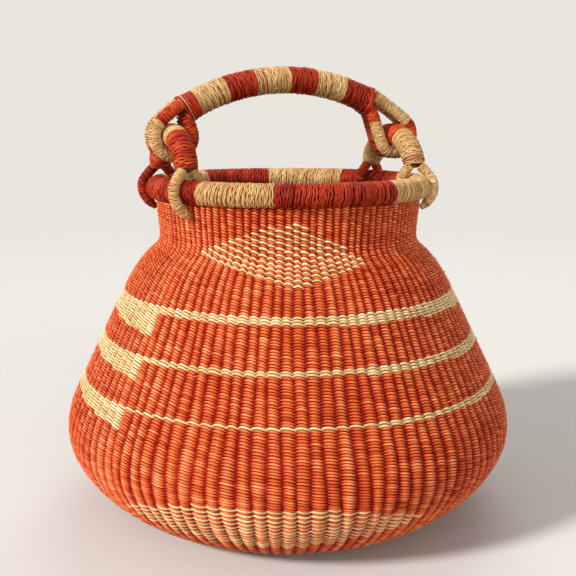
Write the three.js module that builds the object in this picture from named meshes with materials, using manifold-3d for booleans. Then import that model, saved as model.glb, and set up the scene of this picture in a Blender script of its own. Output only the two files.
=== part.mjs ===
// Pot-shaped market basket of twined elephant grass: a woven floor and wall with natural stripes,
// diamonds and a lens pattern, a straw-wrapped rim, two wrapped ears and an arched handle
// whose four end loops are linked through the ears.
// Millimetres, +Z up. X runs from ear to ear, and the origin is the centre of the flat base.

import * as THREE from 'three';
import { mergeVertices } from 'three/addons/utils/BufferGeometryUtils.js';
import Module from 'manifold-3d';

const wasm = await Module();
wasm.setup();

// Clearance between neighbouring pieces
const clearance = 0.3;

// Floor and wall: the outline runs from the base edge out to the belly and in to the neck
const baseRadius = 120;
const wallThickness = 6;
const bellyRadius = 200;
const bellyHeight = 78;
const bellyCornerHeight = 93;
const shoulderRadius = 136;
const shoulderHeight = 224;
const neckRadius = 114.5;
const neckHeight = 242;
const footTopHeight = 20;

// Rim: a ring of bundled stake ends with a straw wrap around it
const rimRadius = 115;
const rimHeight = 288;
const rimCoreRadius = 7.3;
const rimWrapThickness = 2.9;

// Natural stripes: the height of each top edge, the width just before its short rows end, and
// the thin width that is left after them
const stripeLowHeight = 126;
const stripeLowWidth = 18;
const stripeLowThinWidth = 2.4;
const stripeMiddleHeight = 162.5;
const stripeMiddleWidth = 20.5;
const stripeMiddleThinWidth = 4.6;
const stripeHighHeight = 200.5;
const stripeHighWidth = 26;
const stripeHighThinWidth = 7;
const stripeGrowthPower = 2.5;

// Diamonds on the neck and lenses under the belly, one of each on the front and on the back
const diamondHeight = 240;
const diamondRise = 28.5;
const diamondDrop = 24.5;
const diamondTilt = 3.5;
const lensHeight = 44;
const lensRise = 29;
const lensDrop = 23;
const inlayOverrun = 4;
const inlayTipWidth = 1.5;

// Ears: half-round arches that stand on the rim, one at each end of X
const earArchRadius = 45;
const earCoreRadius = 7.6;
const earWrapThickness = 2.6;
const earFootRise = 18;

// Ties: each ear leg ends in two strands that straddle the rim and are tucked into the wall
const tieRadius = 4.5;

// Handle: a wrapped arc, whose ends stop at a different reach on each side
const handleArcRadius = 184;
const handleTopHeight = 392;
const handleCoreRadius = 9;
const handleWrapThickness = 2.7;
const handleLeftReach = 96;
const handleRightReach = 79;

// End loops: two on each side, linked through the ear
const loopRadius = 5.5;
const loopSlack = 0.6;

// Whipping: a single turn of straw at a colour change
const whippingThickness = 1.1;
const whippingWidth = 2.4;

// Directions around the basket, in degrees from -Y towards +X
const patternAzimuth = -28;
const diamondShift = 1.5;
const stripeCutAzimuth = -66;
const stripeCutSpread = 0.5;
const diamondHalfAngle = 36;
const lensHalfAngle = 40;

// Facets
const ringSteps = 48;
const tubeSides = 10;
const strandSides = 8;
const coreSides = 8;
const inlaySteps = 12;
const inlayLevels = 6;

const straw = {
  orange: { color: 0xc9481f, roughness: 0.72, metalness: 0 },
  red: { color: 0xb93a1e, roughness: 0.72, metalness: 0 },
  natural: { color: 0xcfae72, roughness: 0.68, metalness: 0 },
  bundle: { color: 0xa98a55, roughness: 0.8, metalness: 0 },
};

const basket = new THREE.Group();
const handle = new THREE.Group();
basket.add(handle);

// Solids

// A closed body through equal rings of points, joined end to end or capped at both ends
function loft(rings, closed) {
  const size = rings[0].length;
  const positions = rings.flat().flatMap((point) => [point.x, point.y, point.z]);
  const indices = [];
  const spans = closed ? rings.length : rings.length - 1;
  for (let i = 0; i < spans; i += 1) {
    const here = i * size;
    const there = ((i + 1) % rings.length) * size;
    for (let k = 0; k < size; k += 1) {
      const next = (k + 1) % size;
      indices.push(here + k, here + next, there + next);
      indices.push(here + k, there + next, there + k);
    }
  }
  if (!closed) {
    indices.push(...capTriangles(rings[0], 0, true));
    indices.push(...capTriangles(rings[rings.length - 1], (rings.length - 1) * size, false));
  }
  const geometry = new THREE.BufferGeometry();
  geometry.setAttribute('position', new THREE.Float32BufferAttribute(positions, 3));
  geometry.setIndex(signedVolume(positions, indices) < 0 ? indices.reverse() : indices);
  return geometry;
}

function capTriangles(ring, offset, reversed) {
  const origin = ring[0];
  const normal = new THREE.Vector3();
  ring.forEach((point, k) => {
    const next = ring[(k + 1) % ring.length];
    normal.add(point.clone().sub(origin).cross(next.clone().sub(origin)));
  });
  normal.normalize();
  const across = ring[1].clone().sub(origin).normalize();
  const up = normal.clone().cross(across);
  const flat = ring.map((point) => {
    const offsetPoint = point.clone().sub(origin);
    return new THREE.Vector2(offsetPoint.dot(across), offsetPoint.dot(up));
  });
  const triangles = THREE.ShapeUtils.triangulateShape(flat, []).flat();
  const ordered = reversed ? triangles.reverse() : triangles;
  return ordered.map((index) => index + offset);
}

function signedVolume(positions, indices) {
  let volume = 0;
  const corner = (index) => new THREE.Vector3().fromArray(positions, index * 3);
  for (let i = 0; i < indices.length; i += 3) {
    const first = corner(indices[i]);
    volume += first.dot(corner(indices[i + 1]).cross(corner(indices[i + 2])));
  }
  return volume;
}

function toSolid(geometry) {
  const bare = geometry.clone();
  bare.deleteAttribute('normal');
  bare.deleteAttribute('uv');
  const merged = mergeVertices(bare);
  return new wasm.Manifold(new wasm.Mesh({
    numProp: 3,
    vertProperties: new Float32Array(merged.attributes.position.array),
    triVerts: new Uint32Array(merged.index.array),
  }));
}

function toGeometry(solid) {
  const mesh = solid.getMesh();
  const geometry = new THREE.BufferGeometry();
  geometry.setAttribute('position', new THREE.Float32BufferAttribute(mesh.vertProperties, 3));
  geometry.setIndex(Array.from(mesh.triVerts));
  return geometry;
}

function cut(geometry, ...cutters) {
  let solid = toSolid(geometry);
  cutters.forEach((cutter) => {
    solid = solid.subtract(toSolid(cutter));
  });
  return toGeometry(solid);
}

function overlapOf(geometry, other) {
  return toGeometry(toSolid(geometry).intersect(toSolid(other)));
}

function addPiece(group, name, geometry, look) {
  const mesh = new THREE.Mesh(geometry, new THREE.MeshStandardMaterial(straw[look]));
  mesh.name = name;
  group.add(mesh);
}

// The wall's outline in section: x is the radius and y the height

const rimOuterRadius = rimCoreRadius + rimWrapThickness;
const wallTopHeight = rimHeight - rimCoreRadius - clearance;
const wallTopRadius = rimRadius + wallThickness / 2;
const underRoundShare = 0.375;
const underRiseShare = 0.54;
const bellyTurnShare = 0.13;
const coneEndShare = 0.8;
const shoulderTurnShare = 0.6;
const neckStartShare = 0.7;
const neckTurnShare = 0.2;

const bellyCorner = new THREE.Vector2(bellyRadius, bellyCornerHeight);
const shoulderCorner = new THREE.Vector2(shoulderRadius, shoulderHeight);
const neckCorner = new THREE.Vector2(neckRadius, neckHeight);
const wallTop = new THREE.Vector2(wallTopRadius, wallTopHeight);

const outline = new THREE.Path();
outline.moveTo(baseRadius, 0);
outline.bezierCurveTo(
  baseRadius + underRoundShare * (bellyRadius - baseRadius),
  0,
  bellyRadius,
  underRiseShare * bellyHeight,
  bellyRadius,
  bellyHeight,
);
turnCorner(bellyCorner, shoulderCorner, bellyTurnShare);
lineTowards(bellyCorner, shoulderCorner, coneEndShare);
turnCorner(shoulderCorner, neckCorner, shoulderTurnShare);
lineTowards(shoulderCorner, neckCorner, neckStartShare);
turnCorner(neckCorner, wallTop, neckTurnShare);
outline.lineTo(wallTop.x, wallTop.y);

function turnCorner(corner, next, share) {
  const end = corner.clone().lerp(next, share);
  outline.quadraticCurveTo(corner.x, corner.y, end.x, end.y);
}

function lineTowards(from, to, share) {
  const end = from.clone().lerp(to, share);
  outline.lineTo(end.x, end.y);
}

const outlineLength = outline.getLength();

// A point of the wall's section, so far along the outline and so deep under the outer face
function wallPoint(along, depth) {
  const share = THREE.MathUtils.clamp(along / outlineLength, 0, 1);
  const point = outline.getPoint(share);
  const tangent = outline.getTangent(share);
  return new THREE.Vector2(point.x - tangent.y * depth, point.y + tangent.x * depth);
}

function alongAtHeight(height) {
  let low = 0;
  let high = outlineLength;
  for (let pass = 0; pass < 40; pass += 1) {
    const middle = (low + high) / 2;
    if (wallPoint(middle, 0).y < height) {
      low = middle;
    } else {
      high = middle;
    }
  }
  return (low + high) / 2;
}

// Turns a section point to its place around the basket
function around(azimuth, radius, height) {
  const angle = THREE.MathUtils.degToRad(azimuth);
  return new THREE.Vector3(radius * Math.sin(angle), -radius * Math.cos(angle), height);
}

// Woven wall and stripes

const stations = [];
for (let i = 0; i < ringSteps; i += 1) {
  stations.push((i * 360) / ringSteps);
}
for (const half of [0, 180]) {
  for (const side of [-1, 1]) {
    const azimuth = stripeCutAzimuth + half + side * stripeCutSpread - patternAzimuth;
    stations.push((azimuth + 360) % 360);
  }
}
stations.sort((first, second) => first - second);

// Short rows widen a stripe steadily over each half turn, up to the cut where they all end
function stripeWidth(stripe, station) {
  const turned = (station + patternAzimuth - stripeCutAzimuth - stripeCutSpread + 720) % 180;
  const share = Math.min(turned / (180 - 2 * stripeCutSpread), 1);
  const inCut = turned > 180 - stripeCutSpread ? 0 : 1;
  const growth = inCut * share ** stripeGrowthPower;
  return THREE.MathUtils.lerp(stripe.thinWidth, stripe.fullWidth, growth);
}

function wallBand(lowAt, highAt, rows) {
  const rings = stations.map((station) => {
    const low = lowAt(station);
    const high = highAt(station);
    const ring = [];
    for (const [depth, upwards] of [[0, true], [wallThickness, false]]) {
      for (let row = 0; row <= rows; row += 1) {
        const share = (upwards ? row : rows - row) / rows;
        const point = wallPoint(low + (high - low) * share, depth);
        ring.push(around(station + patternAzimuth, point.x, point.y));
      }
    }
    return ring;
  });
  return loft(rings, true);
}

const stripes = [
  {
    name: 'stripe_low',
    top: alongAtHeight(stripeLowHeight),
    fullWidth: stripeLowWidth,
    thinWidth: stripeLowThinWidth,
  },
  {
    name: 'stripe_middle',
    top: alongAtHeight(stripeMiddleHeight),
    fullWidth: stripeMiddleWidth,
    thinWidth: stripeMiddleThinWidth,
  },
  {
    name: 'stripe_high',
    top: alongAtHeight(stripeHighHeight),
    fullWidth: stripeHighWidth,
    thinWidth: stripeHighThinWidth,
  },
];
const [stripeLow, stripeMiddle, stripeHigh] = stripes;

const lowEdge = (stripe) => (station) => stripe.top - stripeWidth(stripe, station);
const under = (stripe) => (station) => lowEdge(stripe)(station) - clearance;
const over = (stripe) => () => stripe.top + clearance;

const footTop = alongAtHeight(footTopHeight);
const neckTop = alongAtHeight(neckHeight);
const walls = [
  { name: 'wall_foot', low: () => 0, high: () => footTop, rows: 4 },
  { name: 'wall_lower', low: () => footTop + clearance, high: under(stripeLow), rows: 6 },
  { name: 'wall_belly', low: over(stripeLow), high: under(stripeMiddle), rows: 1 },
  { name: 'wall_shoulder', low: over(stripeMiddle), high: under(stripeHigh), rows: 1 },
  { name: 'wall_neck', low: over(stripeHigh), high: () => neckTop, rows: 5 },
  { name: 'wall_collar', low: () => neckTop + clearance, high: () => outlineLength, rows: 3 },
];
const wallSolids = new Map(walls.map((wall) => [wall.name, wallBand(wall.low, wall.high, wall.rows)]));

// A patch of the wall between two tips, grown by a margin: it is widest at its peak
function patch(inlay, azimuth, margin) {
  const reach = inlay.halfAngle + THREE.MathUtils.radToDeg(margin / wallPoint(inlay.middle, 0).x);
  const rings = [];
  for (let i = 0; i <= inlaySteps; i += 1) {
    const side = (2 * i) / inlaySteps - 1;
    const flank = side < inlay.peakShare ? 1 + inlay.peakShare : 1 - inlay.peakShare;
    const swell = 1 - (Math.abs(side - inlay.peakShare) / flank) ** inlay.power;
    const middle = inlay.middle - inlay.tilt * side;
    const top = middle + inlay.rise * swell + inlayTipWidth / 2 + margin;
    const bottom = middle - inlay.drop * swell - inlayTipWidth / 2 - margin;
    const ring = [];
    for (const [depth, upwards] of [[-inlayOverrun, true], [wallThickness + inlayOverrun, false]]) {
      for (let level = 0; level <= inlayLevels; level += 1) {
        const share = (upwards ? level : inlayLevels - level) / inlayLevels;
        const point = wallPoint(bottom + (top - bottom) * share, depth);
        ring.push(around(azimuth + reach * side, point.x, point.y));
      }
    }
    rings.push(ring);
  }
  return loft(rings, false);
}

const diamondPeakShare = 1 / 6;
const diamondPower = 1;
const lensPower = 2;
const inlays = [
  {
    name: 'diamond',
    walls: ['wall_neck', 'wall_collar'],
    azimuth: patternAzimuth + diamondShift,
    halfAngle: diamondHalfAngle,
    middle: alongAtHeight(diamondHeight),
    rise: diamondRise,
    drop: diamondDrop,
    tilt: diamondTilt,
    peakShare: diamondPeakShare,
    power: diamondPower,
  },
  {
    name: 'lens',
    walls: ['wall_lower'],
    azimuth: patternAzimuth,
    halfAngle: lensHalfAngle,
    middle: alongAtHeight(lensHeight),
    rise: lensRise,
    drop: lensDrop,
    tilt: 0,
    peakShare: 0,
    power: lensPower,
  },
];

for (const inlay of inlays) {
  const crossed = walls.filter((wall) => inlay.walls.includes(wall.name));
  const rows = crossed.reduce((total, wall) => total + wall.rows, 0);
  const whole = wallBand(crossed[0].low, crossed[crossed.length - 1].high, rows);
  for (const [side, azimuth] of [['front', inlay.azimuth], ['back', inlay.azimuth + 180]]) {
    const seat = patch(inlay, azimuth, clearance);
    addPiece(basket, `${inlay.name}_${side}`, overlapOf(whole, patch(inlay, azimuth, 0)), 'natural');
    crossed.forEach(({ name }) => wallSolids.set(name, cut(wallSolids.get(name), seat)));
  }
}

wallSolids.forEach((solid, name) => addPiece(basket, name, solid, 'orange'));
stripes.forEach((stripe) => {
  addPiece(basket, stripe.name, wallBand(lowEdge(stripe), () => stripe.top, 1), 'natural');
});

const floor = new THREE.CylinderGeometry(
  baseRadius - clearance,
  baseRadius - clearance,
  wallThickness,
  ringSteps,
);
floor.rotateX(Math.PI / 2);
floor.translate(0, 0, wallThickness / 2);
addPiece(basket, 'floor', floor, 'orange');

// Rim: a core ring and its wraps, open below where the wall's top edge comes in

function ringTube(radius, sides) {
  const profile = [];
  for (let i = 0; i <= sides; i += 1) {
    const angle = (i % sides) * ((2 * Math.PI) / sides);
    profile.push(new THREE.Vector2(rimRadius + radius * Math.cos(angle), radius * Math.sin(angle)));
  }
  const geometry = new THREE.LatheGeometry(profile, ringSteps);
  geometry.rotateX(Math.PI / 2);
  geometry.rotateZ(THREE.MathUtils.degToRad(patternAzimuth));
  geometry.translate(0, 0, rimHeight);
  return geometry;
}

addPiece(basket, 'rim_core', ringTube(rimCoreRadius, coreSides), 'bundle');

// How far round the colour changes, and how near to a change a facet of the ring is left out
const rimWrapShares = [0, 0.138, 0.288, 0.432, 0.543, 0.643, 0.771, 0.914, 1];
const rimMergeShare = 0.1;
const rimSectionSteps = 8;
const slotHalfWidth = wallThickness / 2 + 2 * clearance;

function rimWrap(from, to) {
  const gapShare = clearance / 2 / (2 * Math.PI * rimRadius);
  const innerRadius = (rimCoreRadius + clearance) / Math.cos(Math.PI / rimSectionSteps);
  const places = [from + gapShare];
  for (let step = Math.ceil(from * ringSteps); step < to * ringSteps; step += 1) {
    if (Math.min(step - from * ringSteps, to * ringSteps - step) > rimMergeShare) {
      places.push(step / ringSteps);
    }
  }
  places.push(to - gapShare);
  const rings = [];
  for (const place of places) {
    const azimuth = patternAzimuth + 360 * place;
    const ring = [];
    for (const [radius, forwards] of [[rimOuterRadius, true], [innerRadius, false]]) {
      const opening = Math.asin(slotHalfWidth / radius);
      for (let k = 0; k <= rimSectionSteps; k += 1) {
        const share = (forwards ? k : rimSectionSteps - k) / rimSectionSteps;
        const angle = opening + share * 2 * (Math.PI - opening) - Math.PI / 2;
        ring.push(around(
          azimuth,
          rimRadius + radius * Math.cos(angle),
          rimHeight + radius * Math.sin(angle),
        ));
      }
    }
    rings.push(ring);
  }
  return loft(rings, false);
}

for (let index = 1; index < rimWrapShares.length; index += 1) {
  const wrap = rimWrap(rimWrapShares[index - 1], rimWrapShares[index]);
  addPiece(basket, `rim_wrap_${index}`, wrap, index % 2 === 1 ? 'red' : 'natural');
}

// Arcs that carry a wrapped bundle: a frame at each angle gives the section's two directions

function arcRing(arc, angle, radius, sides) {
  const radial = arc.right.clone().multiplyScalar(Math.sin(angle));
  radial.addScaledVector(arc.up, Math.cos(angle));
  const side = arc.right.clone().cross(arc.up);
  const centre = arc.centre.clone().addScaledVector(radial, arc.radius);
  const ring = [];
  for (let k = 0; k < sides; k += 1) {
    const turn = ((k + 1 / 2) * 2 * Math.PI) / sides;
    const point = centre.clone().addScaledVector(radial, radius * Math.cos(turn));
    ring.push(point.addScaledVector(side, radius * Math.sin(turn)));
  }
  return ring;
}

function arcRod(arc, from, to, steps, radius, sides) {
  const rings = [];
  for (let i = 0; i <= steps; i += 1) {
    rings.push(arcRing(arc, from + ((to - from) * i) / steps, radius, sides));
  }
  return loft(rings, false);
}

// A sleeve is the band between two tubes along one arc, open at both ends
function arcSleeve(arc, from, to, steps, innerRadius, outerRadius) {
  const stationsAlong = [];
  for (let i = 0; i <= steps; i += 1) {
    const angle = from + ((to - from) * i) / steps;
    stationsAlong.push([
      arcRing(arc, angle, outerRadius, tubeSides),
      arcRing(arc, angle, innerRadius, tubeSides),
    ]);
  }
  const rings = [];
  for (let k = 0; k < tubeSides; k += 1) {
    const outer = stationsAlong.map(([outerRing]) => outerRing[k]);
    const inner = stationsAlong.map(([, innerRing]) => innerRing[k]).reverse();
    rings.push([...outer, ...inner]);
  }
  return loft(rings, true);
}

// The flats of a many-sided bore stay clear of what runs through it
function boreRadius(radius) {
  return (radius + clearance) / Math.cos(Math.PI / tubeSides);
}

// Ears

const earPlane = Math.sqrt(rimRadius ** 2 - earArchRadius ** 2);
const earOuterRadius = earCoreRadius + earWrapThickness;
const earFootAngle = Math.acos(earFootRise / earArchRadius);
const earThirds = 3;
const earWrapSteps = 3;
const ears = [
  { name: 'left', side: -1, looks: ['orange', 'natural', 'orange'] },
  { name: 'right', side: 1, looks: ['natural', 'orange', 'natural'] },
];

function earArc(side) {
  return {
    centre: new THREE.Vector3(side * earPlane, 0, rimHeight),
    right: new THREE.Vector3(0, 1, 0),
    up: new THREE.Vector3(0, 0, 1),
    radius: earArchRadius,
  };
}

for (const ear of ears) {
  const arc = earArc(ear.side);
  const coreSteps = earThirds * earWrapSteps;
  const core = arcRod(arc, -earFootAngle, earFootAngle, coreSteps, earCoreRadius, tubeSides);
  addPiece(basket, `ear_${ear.name}_core`, core, 'bundle');
  const sweep = (2 * earFootAngle) / earThirds;
  const gapAngle = clearance / 2 / earArchRadius;
  ['near', 'crown', 'far'].forEach((place, index) => {
    const from = -earFootAngle + index * sweep + (index > 0 ? gapAngle : 0);
    const to = -earFootAngle + (index + 1) * sweep - (index < earThirds - 1 ? gapAngle : 0);
    const wrap = arcSleeve(arc, from, to, earWrapSteps, boreRadius(earCoreRadius), earOuterRadius);
    addPiece(basket, `ear_${ear.name}_wrap_${place}`, wrap, ear.looks[index]);
  });
}

// A whipping turn lies over the wrap of an arc
function whipping(arc, angle, wrapRadius) {
  const half = whippingWidth / 2 / arc.radius;
  const bore = boreRadius(wrapRadius);
  return arcSleeve(arc, angle - half, angle + half, 1, bore, bore + whippingThickness);
}

const earWhippingShare = 0.93;
addPiece(
  basket,
  'ear_right_whipping',
  whipping(earArc(1), -earFootAngle * earWhippingShare, earOuterRadius),
  'red',
);

// Ties

// A round strand along part of a curve; its rings keep one direction near the given side
function strand(curve, from, to, steps, radius, side) {
  const rings = [];
  for (let i = 0; i <= steps; i += 1) {
    const share = from + ((to - from) * i) / steps;
    const centre = curve.getPointAt(share);
    const tangent = curve.getTangentAt(share);
    const normal = tangent.clone().cross(side).normalize();
    const across = normal.clone().cross(tangent);
    const ring = [];
    for (let k = 0; k < strandSides; k += 1) {
      const turn = (k * 2 * Math.PI) / strandSides;
      const point = centre.clone().addScaledVector(normal, radius * Math.cos(turn));
      ring.push(point.addScaledVector(across, radius * Math.sin(turn)));
    }
    rings.push(ring);
  }
  return loft(rings, false);
}

// The tie leaves the leg beside its twin, follows the rim's round and ends against the wall
const tieSteps = 9;
const tieOrbit = rimOuterRadius + 2 * clearance + tieRadius;
const tieStart = tieRadius + clearance / 2;
const tieAngles = [50, 80, 110];
const legSpreadShare = 0.5;
const tieEndDrop = rimOuterRadius + tieRadius;
const tieLean = Math.tan(Math.PI / 2 - earFootAngle);

function tie(ear, legSide, wallSide) {
  const footAzimuth = 90 * ear.side + legSide * ear.side * footSpread();
  const outwards = around(footAzimuth, 1, 0);
  const along = new THREE.Vector3(0, legSide, 0);
  const rimPoint = around(footAzimuth, rimRadius, rimHeight);
  const place = (offset, rise) => {
    const point = rimPoint.clone().addScaledVector(outwards, wallSide * offset);
    point.z += rise;
    return point.addScaledVector(along, -rise * tieLean * legSpreadShare);
  };
  const wallFace = wallPoint(alongAtHeight(rimHeight - tieEndDrop), wallSide > 0 ? 0 : wallThickness).x;
  const wallOffset = wallSide * (wallFace - rimRadius);
  const points = [
    place(tieStart, earFootRise - clearance),
    ...tieAngles.map((degrees) => {
      const angle = THREE.MathUtils.degToRad(degrees);
      return place(tieOrbit * Math.sin(angle), tieOrbit * Math.cos(angle));
    }),
    place(wallOffset + tieRadius + clearance * 2, -tieEndDrop),
  ];
  const curve = new THREE.CatmullRomCurve3(points, false, 'centripetal');
  return strand(curve, 0, 1, tieSteps, tieRadius, along);
}

function footSpread() {
  return THREE.MathUtils.radToDeg(Math.asin(earArchRadius / rimRadius));
}

const tieLooks = { left: ['natural', 'red'], right: ['natural', 'orange'] };

for (const ear of ears) {
  const trim = arcRod(
    earArc(ear.side),
    -earFootAngle - clearance / earArchRadius,
    earFootAngle + clearance / earArchRadius,
    earThirds * earWrapSteps,
    earOuterRadius + clearance,
    tubeSides,
  );
  for (const [leg, legSide] of [['near', -1], ['far', 1]]) {
    for (const [face, wallSide] of [['outside', 1], ['inside', -1]]) {
      const look = tieLooks[ear.name][legSide < 0 ? 0 : 1];
      addPiece(basket, `tie_${ear.name}_${leg}_${face}`, cut(tie(ear, legSide, wallSide), trim), look);
    }
  }
}

// Handle

const handleOuterRadius = handleCoreRadius + handleWrapThickness;
const handleArc = {
  centre: new THREE.Vector3(0, 0, handleTopHeight - handleArcRadius - handleOuterRadius),
  right: new THREE.Vector3(1, 0, 0),
  up: new THREE.Vector3(0, 0, 1),
  depth: new THREE.Vector3(0, 1, 0),
  radius: handleArcRadius,
};
const handleLeftAngle = -Math.asin(handleLeftReach / handleArcRadius);
const handleRightAngle = Math.asin(handleRightReach / handleArcRadius);
const handleBandShares = [0, 0.072, 0.229, 0.374, 0.549, 0.687, 0.845, 1];
const handleBandSteps = 2;

const handleCore = arcRod(
  handleArc,
  handleLeftAngle,
  handleRightAngle,
  (handleBandShares.length - 1) * handleBandSteps,
  handleCoreRadius,
  tubeSides,
);
addPiece(handle, 'handle_core', handleCore, 'bundle');

const handleAngleAt = (share) => THREE.MathUtils.lerp(handleLeftAngle, handleRightAngle, share);
for (let band = 0; band < handleBandShares.length - 1; band += 1) {
  const last = handleBandShares.length - 2;
  const gapAngle = clearance / 2 / handleArcRadius;
  const from = handleAngleAt(handleBandShares[band]) + (band > 0 ? gapAngle : 0);
  const to = handleAngleAt(handleBandShares[band + 1]) - (band < last ? gapAngle : 0);
  const bore = boreRadius(handleCoreRadius);
  const wrap = arcSleeve(handleArc, from, to, handleBandSteps, bore, handleOuterRadius);
  addPiece(handle, `handle_wrap_${band + 1}`, wrap, band % 2 === 0 ? 'red' : 'natural');
}

const handleWhippingShare = 0.016;
addPiece(
  handle,
  'handle_whipping',
  whipping(handleArc, handleAngleAt(handleWhippingShare), handleOuterRadius),
  'natural',
);

// End loops: from the upper half of the handle's end, around the ear and back to the lower half

const loopOffset = loopRadius + clearance / 2;
const loopLane = handleOuterRadius - loopRadius;
const loopReachShare = 1.4;
const loopExitShare = 0.4;
const loopReachIn = loopReachShare * loopRadius;
const loopExit = loopExitShare * loopRadius;
const loopArcSteps = 9;

function loopPath(side, endAngle, depth) {
  const gap = earOuterRadius + loopSlack + loopRadius;
  const top = Math.sqrt((earArchRadius + gap) ** 2 - depth ** 2);
  const bottom = Math.sqrt((earArchRadius - gap) ** 2 - depth ** 2);
  const ringRadius = (top - bottom) / 2;
  const ringHeight = rimHeight + (top + bottom) / 2;
  const tangent = new THREE.Vector3(side * Math.cos(endAngle), 0, -Math.abs(Math.sin(endAngle)));
  const normal = new THREE.Vector3(-tangent.z * side, 0, Math.cos(endAngle));
  const end = handleArc.centre.clone();
  end.x += handleArcRadius * Math.sin(endAngle);
  end.z += handleArcRadius * Math.cos(endAngle);
  end.y = depth;
  const lane = (offset, ahead) => {
    const point = end.clone().addScaledVector(normal, offset);
    return point.addScaledVector(tangent, ahead);
  };
  const ringCentre = new THREE.Vector3(side * earPlane, depth, ringHeight);
  const outerExit = lane(loopLane, loopExit);
  const innerExit = lane(-loopLane, loopExit);
  const first = touchAngle(outerExit, ringCentre, ringRadius, side, -1);
  const last = touchAngle(innerExit, ringCentre, ringRadius, side, 1) - 2 * Math.PI;
  const arcPoints = [];
  for (let i = 0; i <= loopArcSteps; i += 1) {
    const angle = first + ((last - first) * i) / loopArcSteps;
    const point = ringCentre.clone();
    point.x += side * ringRadius * Math.cos(angle);
    point.z += ringRadius * Math.sin(angle);
    arcPoints.push(point);
  }
  return [lane(loopLane, -loopReachIn), outerExit, ...arcPoints, innerExit, lane(-loopLane, -loopReachIn)];
}

// Where a straight line from the given point touches the ring around the ear
function touchAngle(point, centre, radius, side, turn) {
  const across = (point.x - centre.x) * side;
  const rise = point.z - centre.z;
  const share = Math.min(radius / Math.hypot(across, rise), 1);
  return Math.atan2(rise, across) + turn * Math.acos(share);
}

const handleEndGap = clearance / handleArcRadius;
const handleTrim = arcRod(
  handleArc,
  handleLeftAngle - handleEndGap,
  handleRightAngle + handleEndGap,
  (handleBandShares.length - 1) * handleBandSteps,
  handleOuterRadius + loopRadius,
  tubeSides,
);
const loopStepShare = 0.05;

// Each loop changes colour on its way round: the share of its length at which each run ends
const loopRunShares = {
  left: {
    near: [['outer', 0.26, 'orange'], ['under', 0.66, 'natural'], ['inner', 1, 'orange']],
    far: [['outer', 0.42, 'natural'], ['inner', 1, 'orange']],
  },
  right: {
    near: [
      ['outer', 0.33, 'natural'],
      ['side', 0.5, 'orange'],
      ['under', 0.85, 'natural'],
      ['inner', 1, 'orange'],
    ],
    far: [['outer', 0.42, 'natural'], ['inner', 1, 'orange']],
  },
};

for (const ear of ears) {
  const endAngle = ear.side < 0 ? handleLeftAngle : handleRightAngle;
  for (const [place, depthSide] of [['near', -1], ['far', 1]]) {
    const points = loopPath(ear.side, endAngle, depthSide * loopOffset);
    const curve = new THREE.CatmullRomCurve3(points, false, 'centripetal');
    const gapShare = clearance / 2 / curve.getLength();
    let from = 0;
    for (const [run, end, look] of loopRunShares[ear.name][place]) {
      const to = end < 1 ? end - gapShare : 1;
      const steps = Math.ceil((to - from) / loopStepShare);
      const whole = strand(curve, from, to, steps, loopRadius, handleArc.depth);
      addPiece(handle, `loop_${ear.name}_${place}_${run}`, cut(whole, handleTrim), look);
      from = end + gapShare;
    }
  }
}

export default basket;
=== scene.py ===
"""Looks of a pot-shaped market basket of twined elephant grass with wrapped rim, ears and handle."""

import math

import bpy
import numpy as np
from bpy.props import FloatProperty, FloatVectorProperty, IntProperty, PointerProperty
from bpy.types import Operator, Panel, PropertyGroup
from mathutils import Euler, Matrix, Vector


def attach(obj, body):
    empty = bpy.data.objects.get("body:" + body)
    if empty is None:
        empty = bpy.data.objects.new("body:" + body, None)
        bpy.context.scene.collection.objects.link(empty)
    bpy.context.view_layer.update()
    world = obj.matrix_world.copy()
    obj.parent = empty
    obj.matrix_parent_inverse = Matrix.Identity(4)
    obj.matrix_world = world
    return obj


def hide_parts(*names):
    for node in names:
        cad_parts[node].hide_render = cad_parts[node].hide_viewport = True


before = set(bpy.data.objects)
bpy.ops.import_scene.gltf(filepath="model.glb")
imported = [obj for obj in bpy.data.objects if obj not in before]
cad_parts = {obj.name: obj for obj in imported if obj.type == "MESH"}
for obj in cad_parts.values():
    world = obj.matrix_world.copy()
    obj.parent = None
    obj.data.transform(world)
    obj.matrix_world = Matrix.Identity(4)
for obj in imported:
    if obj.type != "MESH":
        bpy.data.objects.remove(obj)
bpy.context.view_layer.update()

bl_info = {
    "name": "Twined grass basket",
    "version": (1, 0, 0),
    "blender": (4, 5, 0),
    "location": "View3D > Sidebar > Basket",
    "description": "Weaves and wraps a market basket of elephant grass around its solid frame",
    "category": "Add Mesh",
}

MM = 0.001

BANDS = ["wall_lower", "wall_belly", "wall_shoulder", "wall_neck"]
STRIPES = ["stripe_low", "stripe_middle", "stripe_high"]
EARS = {
    "left": (-1, ("orange", "natural", "orange")),
    "right": (1, ("natural", "orange", "natural")),
}
TIE_STRAW = {"left": ("natural", "red"), "right": ("natural", "orange")}
# Where the wraps change colour, as shares of the way round the rim, along the handle and round a loop
RIM_SHARES = [0, 0.138, 0.288, 0.432, 0.543, 0.643, 0.771, 0.914, 1]
HANDLE_SHARES = [0, 0.072, 0.229, 0.374, 0.549, 0.687, 0.845, 1]
LOOP_RUNS = {
    ("left", "near"): (("outer", 0.26, "orange"), ("under", 0.66, "natural"), ("inner", 1, "orange")),
    ("left", "far"): (("outer", 0.42, "natural"), ("inner", 1, "orange")),
    ("right", "near"): (
        ("outer", 0.33, "natural"),
        ("side", 0.5, "orange"),
        ("under", 0.85, "natural"),
        ("inner", 1, "orange"),
    ),
    ("right", "far"): (("outer", 0.42, "natural"), ("inner", 1, "orange")),
}


def linear(code):
    """An sRGB hex colour as linear red, green and blue."""
    parts = [int(code[i:i + 2], 16) / 255 for i in (1, 3, 5)]
    return [part / 12.92 if part <= 0.04045 else ((part + 0.055) / 1.055) ** 2.4 for part in parts]


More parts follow.
